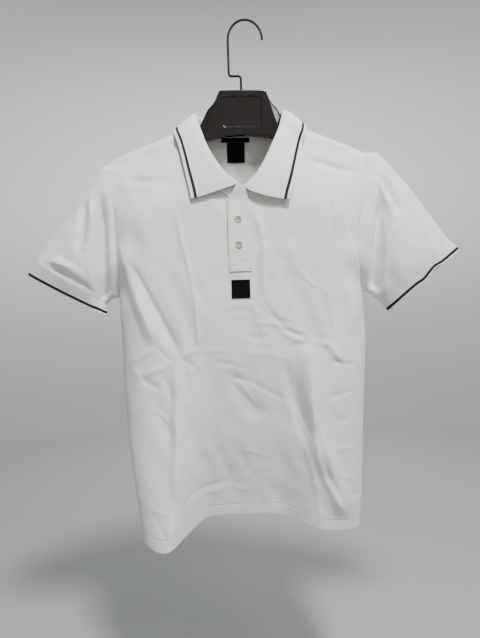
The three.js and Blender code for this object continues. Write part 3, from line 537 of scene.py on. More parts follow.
def around_ring():
    """The share of the way down of each point of a ring, and the face it is on."""
    high = row_shares()[2]
    down = np.concatenate([
        1 - high[TOP_ROW:ARMPIT_ROW - 1:-1], 1 - high[ARMPIT_ROW + 1:TOP_ROW]])
    face = np.where(np.arange(len(down)) <= ARM_CELLS, -1, 1)
    return down, face


def ring_points(form, down, face):
    round_out = np.sqrt(np.maximum(0, 4 * down * (1 - down)))
    stand = np.where(face < 0, form["ahead"], form["behind"]) * round_out
    x = mix(form["topX"], form["lowX"], down)
    tucked = form["tuck"] * smooth((down - TUCK_FROM) / TUCK_OVER)
    return point(x, face * stand, mix(form["topZ"], form["lowZ"], down) + tucked)


def fading(s, down, by_seam, by_top, by_foot):
    """1 on most of a sleeve, and 0 at its armhole seam, its top line and its under line."""
    return smooth(s / by_seam) * smooth(down / by_top) * smooth((1 - down) / by_foot)


def sleeve_grid(side, front, back, creases):
    """Rings from the armhole to the cuff's seam."""
    column = 0 if side < 0 else -1
    seam = np.concatenate([
        front[TOP_ROW:ARMPIT_ROW - 1:-1, column], back[ARMPIT_ROW + 1:TOP_ROW, column]])
    down, face = around_ring()
    form = curves(SLEEVES[side], "s")
    start = ring_points({name: SLEEVES[side][name][0] for name in form}, down, face)
    rings = [seam]
    for s in evenly(SLEEVE_CELLS)[1:]:
        ring = ring_points({name: form[name](s) for name in form}, down, face)
        ring += (seam - start) * (1 - smooth(s / SEAM_REACH))
        x, z = ring[:, 0], ring[:, 2]
        near = fading(s, down, *CREASE_FADE)
        small = crease_rise(creases, x, z) + crumple(x, z, side)
        lift = fold_rise(SLEEVE_FOLDS[side], x, z) * fading(s, down, *FOLD_FADE) + small * near
        ring[:, 1] += np.where(face < 0, -lift, BACK_CREASED * small * near)
        rings.append(ring)
    return np.array(rings)


def cuff_wave(side, down):
    """How far the cuff's front edge lifts on its way down: the left one is gently wavy."""
    if side < 0:
        return np.zeros(down.shape)
    lift = CUFF_ARCH * np.sqrt(np.maximum(0, np.sin(pi * down)))
    for height, at, wide in CUFF_WAVES:
        lift = lift + height * np.exp(-((down - at) / wide) ** 2)
    return lift


def cuff_grid(side, seam):
    down, face = around_ring()
    edge = ring_points({**CUFFS[side], "tuck": 0}, down, face)
    edge[:, 2] += np.where(face < 0, cuff_wave(side, down), 0)
    return np.array([mix(seam, edge, t) for t in evenly(CUFF_CELLS)])


# -------------------------------------------------------------------------- collar
# The strip stands up from the neck seam to its roll line and falls back over it to its
# outer edge. step runs round the seam from the middle of the front by the right shoulder.

COLLAR = table(["step", "rollX", "rollY", "rollZ", "edgeX", "edgeY", "edgeZ", "sag"], [
    [0, 0, -57, -289, -79, -56, -312, 5],
    [2, -8, -56, -282, -80.5, -54.5, -302, 3],
    [3, -22, -53, -269, -83, -52, -290, 1],
    [4, -40, -46, -242, -87, -47.3, -271, 0],
    [5, -53, -36, -214, -93, -38.6, -243, 0],
    [6, -63, -23, -184, -100, -28, -214, 0],
    [7, -69, -13, -163, -106, -26, -196, 0],
    [8, -71, 0, -151, -112, 0, -176, 0],
    [9, -69, 7, -151, -107, 19, -185, 0],
    [10, -64, 12, -151, -100, 25, -191, 0],
    [12, -44, 18, -152, -72, 32, -200, 0],
    [15, 6, 22, -153, 6, 37, -205, 0],
    [18, 56, 18, -151, 84, 32, -200, 0],
    [20, 76, 12, -148, 112, 25, -191, 0],
    [21, 81, 7, -148, 119, 19, -185, 0],
    [22, 83, 0, -148, 124, 0, -175, 0],
    [23, 81, -13, -162, 118.5, -27, -198, 0],
    [24, 74, -23, -186, 112, -29, -217, 0],
    [25, 61, -36, -216, 104, -41, -247, 0],
    [26, 48, -46, -244, 97, -51, -275, 0],
    [27, 33, -53, -270, 92, -57, -294, 2],
    [28, 21, -56, -284, 88, -59, -306, 6],
    [30, 12, -57, -293, 85, -61, -319, 11],
])
COLLAR_STEPS = 30
SHOULDER_STEP = {-1: 8, 1: 22}
COLLAR_CELLS, STAND_CELLS, FALL_CELLS = 210, 10, 26
NECK_AXIS = (6, -12)
# How boldly the cloth turns over at the roll, and how the fall's rows and its sag are spread.
ROLL = {"out": 0.8, "up": 0.6, "stand": 0.7, "fall": 32, "rows": 1.15, "sag": 0.7}


def hermite(a, out_of_a, b, into_b, t):
    t2, t3 = t * t, t * t * t
    return (a * (2 * t3 - 3 * t2 + 1) + out_of_a * (t3 - 2 * t2 + t)
            + b * (3 * t2 - 2 * t3) + into_b * (t3 - t2))


def neck_seam(step):
    """The neck seam's point at a step round it."""
    if SHOULDER_STEP[-1] <= step <= SHOULDER_STEP[1]:
        return body_point(1, *back_neck((step - SHOULDER_STEP[-1]) / BACK_NECK_STEPS))
    side = -1 if step < SHOULDER_STEP[-1] else 1
    from_middle = step if side < 0 else COLLAR_STEPS - step
    curve = neck_curve[side]
    if from_middle >= 2:
        at = SHOULDER_STEP[-1] - from_middle
        return body_point(-1, curve["x"](at), curve["z"](at))
    x = side * np.interp(from_middle, [0, 1, 2], [0, PLACKET["slit"], PLACKET["half"]])
    rise = curve["z"](NECK_STEPS) - NECK_FRONT_Z
    return body_point(-1, x, NECK_FRONT_Z + rise * smooth(from_middle - 1))


def collar_grid():
    """Rows from the neck seam over the roll line to the outer edge."""
    at = curves(COLLAR, "step")
    sections = []
    for step in np.linspace(0, COLLAR_STEPS, COLLAR_CELLS + 1):
        foot = neck_seam(step)
        roll, edge = (
            np.array([at[line + axis](step) for axis in "XYZ"]) for line in ("roll", "edge"))
        out = np.array([roll[0] - NECK_AXIS[0], roll[1] - NECK_AXIS[1], 0])
        out /= np.linalg.norm(out)
        rise = roll - foot
        over = ROLL["out"] * out + np.array([0, 0, ROLL["up"]])
        into_roll = over * np.linalg.norm(rise) * ROLL["stand"]
        line = [hermite(foot, rise, roll, into_roll, t) for t in evenly(STAND_CELLS)]
        for t in evenly(FALL_CELLS)[1:] ** ROLL["rows"]:
            fallen = hermite(roll, over * ROLL["fall"], edge, edge - roll, t)
            fallen[2] -= at["sag"](step) * sin(pi * t ** ROLL["sag"])
            line.append(fallen)
        sections.append(line)
    return np.array(sections).transpose(1, 0, 2)


# --------------------------------------------------------------------- laying cloth

CLOTH_WELD, PLASTIC_WELD = 0.00002, 0.00001
CLOTH_CREASE, BUTTON_CREASE, HANGER_CREASE, WIRE_CREASE = 50, 40, 35, 40  # degrees


def arc_lengths(grid):
    """For each point, how far along its row and up its column it is."""
    across = np.zeros(grid.shape[:2])
    up = np.zeros(grid.shape[:2])
    across[:, 1:] = np.cumsum(np.linalg.norm(np.diff(grid, axis=1), axis=2), axis=1)
    up[1:] = np.cumsum(np.linalg.norm(np.diff(grid, axis=0), axis=2), axis=0)
    middle = grid.shape[1] // 2
    return np.stack([across - across[:, middle:middle + 1], up], axis=-1)


def close_ring(values):
    return np.concatenate([values, values[:, :1]], axis=1)


def new_object(name, bm):
    mesh = bpy.data.meshes.new(name)
    bm.to_mesh(mesh)
    bm.free()
    return add_object(name, mesh)


def placed_grid(name, grid, middle):
    """A flat grid laid on a grid of points, whose x is measured from a middle."""
    rows, columns = grid.shape[:2]
    bm = bmesh.new()
    bmesh.ops.create_grid(bm, x_segments=columns - 1, y_segments=rows - 1, size=1)
    shown = new_object(name, bm)
    placed = (grid + np.array([middle, 0, -HOOK_REST])) * MM
    shown.data.vertices.foreach_set("co", placed.reshape(-1))
    return shown


def weld(mesh, reach, cut=None, fill=False):
    """Leaves out the faces that cut picks, joins points that meet and closes open ends."""
    bm = bmesh.new()
    bm.from_mesh(mesh)
    if cut:
        gone = [face for face in bm.faces if cut(*(face.calc_center_median() / MM))]
        bmesh.ops.delete(bm, geom=gone, context="FACES")
    bmesh.ops.remove_doubles(bm, verts=bm.verts, dist=reach)
    if fill:
        bmesh.ops.holes_fill(bm, edges=[edge for edge in bm.edges if edge.is_boundary], sides=0)
    bmesh.ops.recalc_face_normals(bm, faces=bm.faces)
    bm.to_mesh(mesh)
    bm.free()


def add_uv(mesh, uv):
    corner = np.empty(len(mesh.loops), dtype=np.int32)
    mesh.loops.foreach_get("vertex_index", corner)
    layer = mesh.uv_layers.new(name="cloth")
    layer.data.foreach_set("uv", uv.reshape(-1, 2)[corner].reshape(-1))


def worked_out(shown):
    """The mesh that an object's modifiers or its curve make."""
    graph = bpy.context.evaluated_depsgraph_get()
    return bpy.data.meshes.new_from_object(shown.evaluated_get(graph), depsgraph=graph)


def thicken(shown, wall):
    thick = shown.modifiers.new("thickness", "SOLIDIFY")
    thick.thickness = wall * MM
    thick.offset = 0
    thin, mesh = shown.data, worked_out(shown)
    mesh.name = shown.name
    shown.modifiers.clear()
    shown.data = mesh
    bpy.data.meshes.remove(thin)


def shade(shown, sharp):
    shown.data.shade_smooth()
    shown.data.set_sharp_from_angle(angle=radians(sharp))


def lay_cloth(name, grid, wall, closed=False, facts=None, cut=None, uv=None):
    """A piece of cloth on a grid of points, with its thickness. facts are values for each
    point that its material reads, and cut tells which faces are left out."""
    facts = facts or {}
    if closed:
        grid = close_ring(grid)
        facts = {key: close_ring(values) for key, values in facts.items()}
    shown = placed_grid(name, grid, SHIRT_X)
    add_uv(shown.data, (arc_lengths(grid) if uv is None else uv) * MM)
    for key, values in facts.items():
        made = shown.data.attributes.new(key, "FLOAT", "POINT")
        made.data.foreach_set("value", values.astype(float).reshape(-1))
    weld(shown.data, CLOTH_WELD, cut)
    thicken(shown, wall)
    shade(shown, CLOTH_CREASE)
    return shown


# ------------------------------------------------------------------- the small folds
# Each crease: its line, its rise, its reach to the right and the left, and how crisp.

FRONT_CREASES = [
    # the pull from the right armpit down to the packing line
    ([(-212, -366), (-196, -410), (-175, -475), (-144, -557)], 4.8, 16, 18, 1.8),
    ([(-190, -405), (-160, -462), (-128, -526), (-104, -577)], -4.2, 18, 7, 1.8),
    ([(-144, -557), (-166, -568), (-188, -584)], 2.2, 9, 12, 1.6),
    ([(-144, -557), (-118, -586)], -2.4, 8, 10, 1.6),
    ([(-104, -577), (-81, -594)], -2, 8, 8, 1.5),
    ([(-104, -574), (-88, -568), (-68, -562)], 2, 8, 8, 1.5),
    ([(-174, -607), (-150, -596), (-123, -589)], 2.2, 8, 9, 1.6),
    ([(-174, -607), (-136, -632)], -2.2, 8, 9, 1.6),
    ([(-138, -600), (-128, -622), (-122, -646)], -2, 8, 9, 1.6),
    ([(-186, -592), (-174, -607)], 1.4, 7, 7, 1.4),
    ([(-150, -661), (-136, -672), (-123, -687)], 1.6, 7, 8, 1.5),
    ([(-100, -598), (-92, -622), (-96, -650)], -1.4, 7, 8, 1.5),
    # the right packing line
    ([(-112, -588), (-114, -688), (-115, -762), (-112, -809), (-131, -882)], 3, 16, 18, 1.5),
    ([(-107, -327), (-100, -364), (-88, -420), (-78, -480), (-75, -563)], 2.8, 7, 8, 1.3),
    ([(-98, -340), (-92, -382), (-80, -430)], -1.2, 7, 10, 0.8),
    # beside and below the placket
    ([(20, -324), (33, -352), (40, -392), (37, -440), (38, -484)], 4, 10, 4.5, 1.4),
    ([(38, -484), (48, -508), (72, -533), (116, -560)], -2.4, 7, 9, 1.6),
    ([(17, -520), (52, -524), (80, -532), (104, -542)], 1.9, 7, 7, 1.5),
    ([(60, -536), (84, -550), (112, -556)], 1.8, 6, 8, 1.6),
    ([(70, -566), (96, -560), (116, -560)], -1.6, 8, 8, 1.6),
    ([(-30, -508), (-6, -500), (20, -504)], -1.2, 8, 8, 1.3),
    ([(10, -480), (22, -500), (32, -512)], 1.3, 7, 7, 1.4),
    ([(-2, -536), (20, -548), (44, -546)], -1.2, 7, 8, 1.4),
    ([(52, -500), (64, -512), (88, -518)], 1, 6, 7, 1.4),
    # the left packing line and what leaves it
    ([(111, -553), (109, -595), (112, -654), (114, -721), (131, -791), (169, -858)], 6.4, 24, 9, 1.8),
    ([(69, -585), (83, -653), (110, -721), (149, -812), (168, -856)], -3, 14, 14, 1.6),
    ([(84, -664), (96, -696), (113, -732)], 1.6, 5, 6, 1.4),
    ([(97, -721), (112, -780), (119, -826), (125, -878)], 2.2, 8, 8, 1.4),
    ([(116, -556), (142, -562), (180, -607)], 3.2, 8, 10, 1.8),
    ([(126, -548), (134, -538)], 1.6, 8, 8, 1.4),
    ([(142, -588), (188, -600)], -2.4, 8, 9, 1.8),
    # the left chest
    ([(93, -431), (106, -447), (120, -461), (131, -467)], 1.7, 5, 6, 1.3),
    ([(131, -462), (147, -479), (151, -529), (163, -563)], 2, 8, 9, 1.3),
    ([(152, -300), (158, -376), (156, -440), (151, -520)], -3.6, 12, 10, 0.9),
    ([(172, -320), (180, -376), (174, -420), (167, -480)], 3.6, 10, 9, 1.2),
    ([(187, -385), (194, -408), (200, -436)], 1.8, 6, 7, 1.3),
    ([(100, -330), (112, -372), (128, -398)], -1.2, 14, 14, 0.6),
    ([(60, -330), (84, -352), (96, -380)], 1, 10, 10, 0.8),
    ([(96, -398), (110, -420)], -1, 9, 9, 1),
    # the waist
    ([(-64, -566), (-30, -567)], 1, 7, 8, 1.4),
    ([(-4, -571), (40, -574), (92, -588)], 0.9, 7, 8, 1.3),
    ([(-60, -584), (-20, -590), (10, -600)], -1.2, 8, 8, 1.2),
    ([(-34, -607), (9, -620), (44, -640), (76, -657)], -1.5, 6, 8, 1.6),
    ([(-22, -613), (0, -634), (12, -650), (24, -666)], 2, 7, 9, 1.5),
    ([(-11, -740), (12, -742), (30, -755)], 1.1, 6, 7, 1.3),
    ([(-22, -760), (-17, -776), (-11, -796)], -1.1, 6, 7, 1.3),
    ([(-121, -826), (-89, -805), (-56, -802), (-20, -792)], -1.8, 7, 8, 1.5),
    ([(-104, -838), (-72, -816), (-36, -812)], 1.3, 6, 7, 1.3),
    ([(-30, -806), (4, -816)], 0.9, 6, 7, 1.2),
    # beside the left seam and the hem
    ([(138, -652), (160, -648), (186, -640)], -1.6, 7, 9, 1.4),
    ([(140, -676), (156, -692), (182, -690)], -1.3, 8, 9, 1.2),
    ([(144, -690), (142, -740), (150, -790)], -1.6, 9, 9, 0.9),
    ([(150, -742), (188, -738)], 1.3, 7, 8, 1.3),
    ([(146, -776), (168, -790), (188, -797)], 1.4, 7, 8, 1.4),
    ([(158, -818), (192, -826)], -1.3, 7, 8, 1.3),
    ([(-164, -818), (-140, -826), (-119, -831)], 1.2, 7, 8, 1.3),
    ([(-150, -836), (-137, -858), (-128, -874)], -1.2, 7, 8, 1.2),
    # the shoulders
    ([(-190, -272), (-156, -274), (-133, -270), (-104, -282)], -2, 9, 10, 1.1),
    ([(-178, -286), (-146, -284), (-118, -292)], 1.6, 8, 9, 1.2),
    ([(106, -242), (140, -248), (176, -262), (214, -270)], -2, 9, 10, 1),
    ([(120, -258), (150, -270), (190, -284)], 1.4, 9, 9, 1),
]

BACK_CREASES = [
    ([(-208, -376), (-184, -430), (-156, -492), (-122, -560)], 3.2, 16, 18, 1.6),
    ([(-186, -400), (-150, -462), (-112, -530)], -2.8, 16, 10, 1.5),
    ([(202, -380), (180, -436), (150, -500), (118, -556)], 3.2, 18, 16, 1.6),
    ([(176, -408), (140, -470), (104, -528)], -2.8, 10, 16, 1.5),
    ([(-122, -560), (-116, -640), (-120, -740), (-110, -880)], 3, 16, 16, 1.5),
    ([(118, -556), (112, -650), (116, -750), (120, -884)], 3, 16, 16, 1.5),
    ([(-122, -560), (-60, -578), (-10, -572)], -2, 9, 10, 1.4),
    ([(118, -556), (60, -574), (20, -570)], -2, 10, 9, 1.4),
    ([(-40, -560), (10, -590), (66, -600)], 1.6, 8, 8, 1.4),
    ([(-96, -620), (-30, -640), (20, -632)], 1.6, 8, 9, 1.4),
    ([(-170, -640), (-150, -628), (-126, -618)], 1.8, 8, 8, 1.5),
    ([(-176, -604), (-150, -600), (-124, -584)], -1.6, 8, 8, 1.4),
    ([(176, -628), (150, -618), (128, -604)], 1.8, 8, 8, 1.5),
    ([(-60, -300), (-46, -360), (-40, -420), (-46, -520)], 1.6, 9, 9, 1.1),
    ([(70, -290), (56, -360), (52, -430), (60, -520)], 1.6, 9, 9, 1.1),
    ([(-20, -720), (10, -726), (40, -742)], -1.4, 8, 8, 1.3),
    ([(-90, -800), (-50, -812), (-20, -812), (60, -802)], -1.5, 8, 8, 1.4),
    ([(150, -700), (186, -690)], 1.4, 8, 8, 1.4),
    ([(-180, -740), (-150, -752)], 1.4, 8, 8, 1.4),
    ([(-180, -262), (-140, -268), (-104, -262)], -1.6, 10, 10, 1),
    ([(110, -256), (150, -266), (200, -276)], -1.6, 10, 10, 1),
]

SLEEVE_CREASES = {
    -1: [
        ([(-257, -295), (-251, -346), (-245, -406), (-242, -457)], 4, 8, 9, 1.4),
        ([(-266, -302), (-272, -345)], -2.6, 8, 8, 1.2),
        ([(-277, -379), (-260, -389)], 2, 8, 8, 1.4),
        ([(-336, -402), (-275, -422)], 3, 10, 10, 1.6),
        ([(-336, -412), (-284, -438), (-245, -469)], -3.2, 10, 10, 1.6),
        ([(-235, -302), (-237, -388), (-244, -474)], -3.4, 7, 8, 1.2),
    ],
    1: [
        ([(230, -273), (243, -292), (266, -343)], 3.2, 8, 9, 1.4),
        ([(246, -262), (270, -278), (290, -300)], -2, 8, 8, 1.2),
        ([(295, -315), (308, -326)], -2, 9, 9, 1.2),
        ([(257, -308), (238, -350), (234, -385), (229, -471)], -4, 8, 9, 1.1),
        ([(248, -330), (250, -390), (246, -460)], 2.8, 8, 8, 1.2),
    ],
}

# ------------------------------------------------------------------- shader helpers


def feed(tree, socket, value):
    """Gives a socket a number, a colour, a vector or another socket's result."""
    if isinstance(value, tuple):
        socket.default_value = (*value, 1) if socket.type == "RGBA" else value
    elif isinstance(value, (int, float)):
        socket.default_value = value
    else:
        tree.links.new(value, socket)


def add_node(tree, kind, given, **settings):
    """A node with its settings, given values by input name or number; its outputs."""
    node = tree.nodes.new("ShaderNode" + kind)
    for key, value in settings.items():
        setattr(node, key, value)
    for key, value in given.items():
        feed(tree, node.inputs[key], value)
    return node.outputs


def math_node(tree, operation, *values, clamped=False):
    return add_node(tree, "Math", dict(enumerate(values)), operation=operation, use_clamp=clamped)[0]


def ramp_between(tree, value, low, high):
    """0 below low and 1 above high, smoothly."""
    given = {"From Min": low, "From Max": high, "Value": value}
    return add_node(tree, "MapRange", given, interpolation_type="SMOOTHSTEP")["Result"]


def cloth_uv(tree):
    return add_node(tree, "UVMap", {}, uv_map="cloth")["UV"]


def object_place(tree):
    return add_node(tree, "TexCoord", {})["Object"]


def noise(tree, vector, scale, detail):
    return add_node(tree, "TexNoise", {"Vector": vector, "Scale": scale, "Detail": detail})["Fac"]


def wave(tree, vector, direction, scale):
    given = {"Vector": vector, "Scale": scale}
    return add_node(tree, "TexWave", given, bands_direction=direction)["Fac"]


def mix_colour(tree, factor, a, b):
    return add_node(tree, "Mix", {0: factor, 6: a, 7: b}, data_type="RGBA")[2]


def bump(tree, surface, height, distance):
    given = {"Distance": distance * MM, "Height": height}
    feed(tree, surface["Normal"], add_node(tree, "Bump", given)["Normal"])


# ------------------------------------------------------------------- shared effects


def new_effect(name, takes, gives):
    """An empty effect from its sockets' names and kinds; its tree, what it takes and the
    socket for its result."""
    tree = bpy.data.node_groups.new(name, "ShaderNodeTree")
    for label, kind in takes.items():
        tree.interface.new_socket(name=label, in_out="INPUT", socket_type="NodeSocket" + kind)
    label, kind = gives
    tree.interface.new_socket(name=label, in_out="OUTPUT", socket_type="NodeSocket" + kind)
    start, end = tree.nodes.new("NodeGroupInput"), tree.nodes.new("NodeGroupOutput")
    return tree, start.outputs, end.inputs[0]


TONE_DRIFT = (60, 3)  # scale and detail
GLOSS_DRIFT = (40, 2)
GLOSS_SWING = 0.12


def thread_relief():
    """The height of crossing threads."""
    sockets = {"Place": "Vector", "Scale": "Float"}
    tree, takes, result = new_effect("thread_relief", sockets, ("Height", "Float"))
    waves = [wave(tree, takes["Place"], direction, takes["Scale"]) for direction in "XY"]
    feed(tree, result, math_node(tree, "MULTIPLY", *waves))
    return tree


def worn_tone():
    """A colour that drifts a little towards another."""
    sockets = {"Place": "Vector", "Clean": "Color", "Worn": "Color"}
    tree, takes, result = new_effect("worn_tone", sockets, ("Colour", "Color"))
    drift = noise(tree, takes["Place"], *TONE_DRIFT)
    feed(tree, result, mix_colour(tree, drift, takes["Clean"], takes["Worn"]))
    return tree


def handled_gloss():
    """A roughness that varies softly about a middle value."""
    sockets = {"Place": "Vector", "Middle": "Float"}
    tree, takes, result = new_effect("handled_gloss", sockets, ("Roughness", "Float"))
    drift = math_node(tree, "SUBTRACT", noise(tree, takes["Place"], *GLOSS_DRIFT), 0.5)
    swing = math_node(tree, "MULTIPLY", drift, GLOSS_SWING)
    feed(tree, result, math_node(tree, "ADD", takes["Middle"], swing, clamped=True))
    return tree


def use_effect(tree, effect, **given):
    """One use of a shared effect in a material; its result."""
    named = {label.capitalize(): value for label, value in given.items()}
    return add_node(tree, "Group", named, node_tree=effects[effect])[0]


effects = {"relief": thread_relief(), "tone": worn_tone(), "gloss": handled_gloss()}

# ------------------------------------------------------------------------ materials

WHITE = (0.79, 0.765, 0.735)
WORN_WHITE = (0.745, 0.715, 0.68)
BLACK = (0.004, 0.004, 0.0045)
DARK_BROWN = (0.011, 0.0075, 0.0065)
PEARL = (0.42, 0.36, 0.28)
# the dark of the thread holes is painted shade, as the holes are not cut
HOLE_SHADE = (0.05, 0.04, 0.032)
HOLE_OUT = 1.25  # each way from a button's middle to a thread hole
HOLE_EDGE = (0.55, 0.8)
COTTON_CORD, RIB_CORD = 1.4, 2.2  # the knits' cords in millimetres
CORD_SCALE = 1000 / 6.283  # a wave's scale for one cord in each millimetre
WEAVE_SCALE = 260
SEAM_GROOVE = (0.2, 1.4)  # from its middle: where its side starts and ends
STRIPE_EDGE = (2.6, 3.1)
STRIPE_FUZZ = 0.4
FUZZ = (900, 1)  # scale and detail
COTTON_RELIEF = 0.12  # the knit's height beside a seam groove's
BUMP = {"cotton": 0.5, "rib": 0.18, "weave": 0.1}  # millimetres
KNIT = {"Sheen Roughness": 0.5}
materials = {}


def new_material(name, finish):
    """A material with its finish; its tree and its surface's inputs."""
    material = materials[name] = bpy.data.materials.new(name)
    material.use_nodes = True
    tree = material.node_tree
    tree.nodes.clear()
    out = tree.nodes.new("ShaderNodeOutputMaterial")
    shader = tree.nodes.new("ShaderNodeBsdfPrincipled")
    tree.links.new(shader.outputs[0], out.inputs["Surface"])
    for key, value in finish.items():
        feed(tree, shader.inputs[key], value)
    return tree, shader.inputs


def gloss(tree, surface, middle):
    varied = use_effect(tree, "gloss", place=object_place(tree), middle=middle)
    feed(tree, surface["Roughness"], varied)


def white_tone(tree, uv):
    return use_effect(tree, "tone", place=uv, clean=WHITE, worn=WORN_WHITE)


def off_line(tree, name):
    """How far a point is from the line that one of the cloth's values measures."""
    measured = add_node(tree, "Attribute", {}, attribute_name=name)["Fac"]
    return math_node(tree, "ABSOLUTE", measured)


def cotton():
    tree, surface = new_material("cotton", {"Roughness": 0.92, "Sheen Weight": 0.15, **KNIT})
    uv = cloth_uv(tree)
    feed(tree, surface["Base Color"], white_tone(tree, uv))
    pique = use_effect(tree, "relief", place=uv, scale=CORD_SCALE / COTTON_CORD)
    groove = ramp_between(tree, off_line(tree, "stitch"), *SEAM_GROOVE)
    relief = math_node(tree, "MULTIPLY", pique, COTTON_RELIEF)
    bump(tree, surface, math_node(tree, "ADD", relief, groove), BUMP["cotton"])


def rib_knit():
    tree, surface = new_material("rib_knit", {"Roughness": 0.94, "Sheen Weight": 0.05, **KNIT})
    uv = cloth_uv(tree)
    fuzz = math_node(tree, "MULTIPLY", noise(tree, uv, *FUZZ), STRIPE_FUZZ)
    edge = math_node(tree, "ADD", off_line(tree, "stripe"), fuzz)
    past = ramp_between(tree, edge, *STRIPE_EDGE)
    feed(tree, surface["Base Color"], mix_colour(tree, past, BLACK, white_tone(tree, uv)))
    bump(tree, surface, wave(tree, uv, "X", CORD_SCALE / RIB_CORD), BUMP["rib"])


def dark_weave():
    finish = {"Roughness": 0.85, "Base Color": BLACK, "Specular IOR Level": 0.06}
    tree, surface = new_material("dark_weave", finish)
    threads = use_effect(tree, "relief", place=cloth_uv(tree), scale=WEAVE_SCALE)
    bump(tree, surface, threads, BUMP["weave"])


def pearl():
    """Pale pearl with four thread holes round the middle of its own map, each painted as a dark disc
    of shade.
    """
    tree, surface = new_material("pearl", {"Coat Weight": 0.5})
    gloss(tree, surface, middle=0.25)
    folded = add_node(tree, "VectorMath", {0: cloth_uv(tree)}, operation="ABSOLUTE")["Vector"]
    hole = (HOLE_OUT * MM, HOLE_OUT * MM, 0)
    away = add_node(tree, "VectorMath", {0: folded, 1: hole}, operation="DISTANCE")["Value"]
    clear = ramp_between(tree, away, *(edge * MM for edge in HOLE_EDGE))
    feed(tree, surface["Base Color"], mix_colour(tree, clear, HOLE_SHADE, PEARL))


def plastic():
    tree, surface = new_material("plastic", {"Base Color": DARK_BROWN, "Coat Weight": 0.2})
    gloss(tree, surface, middle=0.15)


def wire():
    tree, surface = new_material("wire", {"Base Color": BLACK, "Specular IOR Level": 0.2})
    gloss(tree, surface, middle=0.45)


for make in (cotton, rib_knit, dark_weave, pearl, plastic, wire):
    make()


def declare(shown, node, slot_name):
    """The piece stands for a node of the solids and takes its slot's material."""
    shown.data.materials.clear()
    shown.data.materials.append(materials[slot_name])
    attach(shown, "root")
    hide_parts(node)
    return shown


# -------------------------------------------------------------------------- shirt

STRIP_CELL = 1.5
TAB_CELLS = (12, 16)
NO_STRIPE = 20.0


def in_slit(x, y, z):
    above_foot = z + HOOK_REST > PLACKET["foot"] + PLACKET["whole"]
    return abs(x - SHIRT_X) < PLACKET["slit"] and above_foot


def stripe(grid, inset):
    """How far each point is from the dark line, inset from the outer edge."""
    lengths = arc_lengths(grid)[..., 1]
    return {"stripe": lengths[-1] - lengths - inset}


front_grid, front_facts = panel_grid(-1, FRONT_CREASES)
back_grid, back_facts = panel_grid(1, BACK_CREASES)
front = lay_cloth("front_cloth", front_grid, CLOTH, facts=front_facts, cut=in_slit,
                  uv=front_grid[..., [0, 2]])
back = lay_cloth("back_cloth", back_grid, CLOTH, facts=back_facts, uv=back_grid[..., [0, 2]])
declare(front, "front_panel", "cotton")
declare(back, "back_panel", "cotton")

sleeves, cuffs = {}, {}
for side, word in zip(SIDES, ("right", "left")):
    grid = sleeve_grid(side, front_grid, back_grid, SLEEVE_CREASES[side])
    lengths = arc_lengths(grid)[..., 1]
    facts = {"stitch": np.minimum(lengths, lengths[-1] - lengths)}
    sleeves[side] = lay_cloth(f"sleeve_{word}_cloth", grid, CLOTH, closed=True, facts=facts)
    declare(sleeves[side], f"sleeve_{word}", "cotton")
    grid = cuff_grid(side, grid[-1])
    facts = stripe(grid, CUFF_STRIPE)
    cuffs[side] = lay_cloth(f"cuff_{word}_cloth", grid, RIB, closed=True, facts=facts)
    declare(cuffs[side], f"cuff_{word}", "rib_knit")

grid = collar_grid()
collar = lay_cloth("collar_cloth", grid, RIB, facts=stripe(grid, COLLAR_STRIPE))
declare(collar, "collar", "rib_knit")


def strip_steps(low, high):
    return np.linspace(low, high, max(2, round((high - low) / STRIP_CELL) + 1))


def on_panel(face, box, offset, creases=()):
    """A strip of the front's or back's own surface, moved along y by offset."""
    x, z = np.meshgrid(strip_steps(box["left"], box["right"]), strip_steps(box["foot"], box["top"]))
    grid = body_point(face, x, z, creases)
    grid[..., 1] += offset
    return grid


def placket(name, way):
    """The outer strip (way -1), whose right edge stands off the front, or the under one."""
    box = {**PLACKET, "left": -PLACKET["half"], "right": PLACKET["half"]}
    grid = on_panel(-1, box, way * PLACKET["off"], FRONT_CREASES)
    x, above_foot = grid[..., 0], grid[..., 2] - PLACKET["foot"]
    if way < 0:
        across = (x + PLACKET["half"]) / (2 * PLACKET["half"])
        lifted = mix(PLACKET["lift_right"], PLACKET["lift_left"], across)
        grid[..., 1] -= lifted * smooth((above_foot - PLACKET["box"]) / PLACKET["lifting"])
    lines = (PLACKET["half"] - PLACKET["edge_stitch"] - np.abs(x), above_foot - PLACKET["box"],
             above_foot - PLACKET["foot_stitch"])
    return lay_cloth(name, grid, PLACKET["wall"], facts={"stitch": np.min(np.abs(lines), axis=0)})


def collar_tab():
    """The overlapping end of the collar's stand, which closes the neck above the placket."""
    across = evenly(TAB_CELLS[0])[None, :]
    up = evenly(TAB_CELLS[1])[:, None]
    right = mix(TAB["foot_right"], TAB["top_right"], up ** TAB["bow"])
    x = mix(right, mix(TAB["foot_left"], TAB["top_left"], up), across)
    z = mix(TAB["foot_z"], mix(TAB["right_z"], TAB["left_z"], across), up)
    seat = body_point(-1, mix(x, x * TAB["gather"], up), np.minimum(z, NECK_FRONT_Z))
    belly = TAB["belly"] * np.sin(pi * across) * up
    y = mix(seat[..., 1] - TAB["off"], TAB["top_y"], smooth(up)) - belly
    facts = {"stripe": np.full(x.shape, NO_STRIPE)}
    return lay_cloth("collar_tab", point(x, y, z), TAB["wall"], facts=facts)


def sewn_on(word, node, face, box, creases=()):
    """A small dark piece on the front, or on the inside of the back."""
    shown = lay_cloth(f"{word}_cloth", on_panel(face, box, -SEWN_OFF, creases), box["wall"])
    return declare(shown, node, "dark_weave")


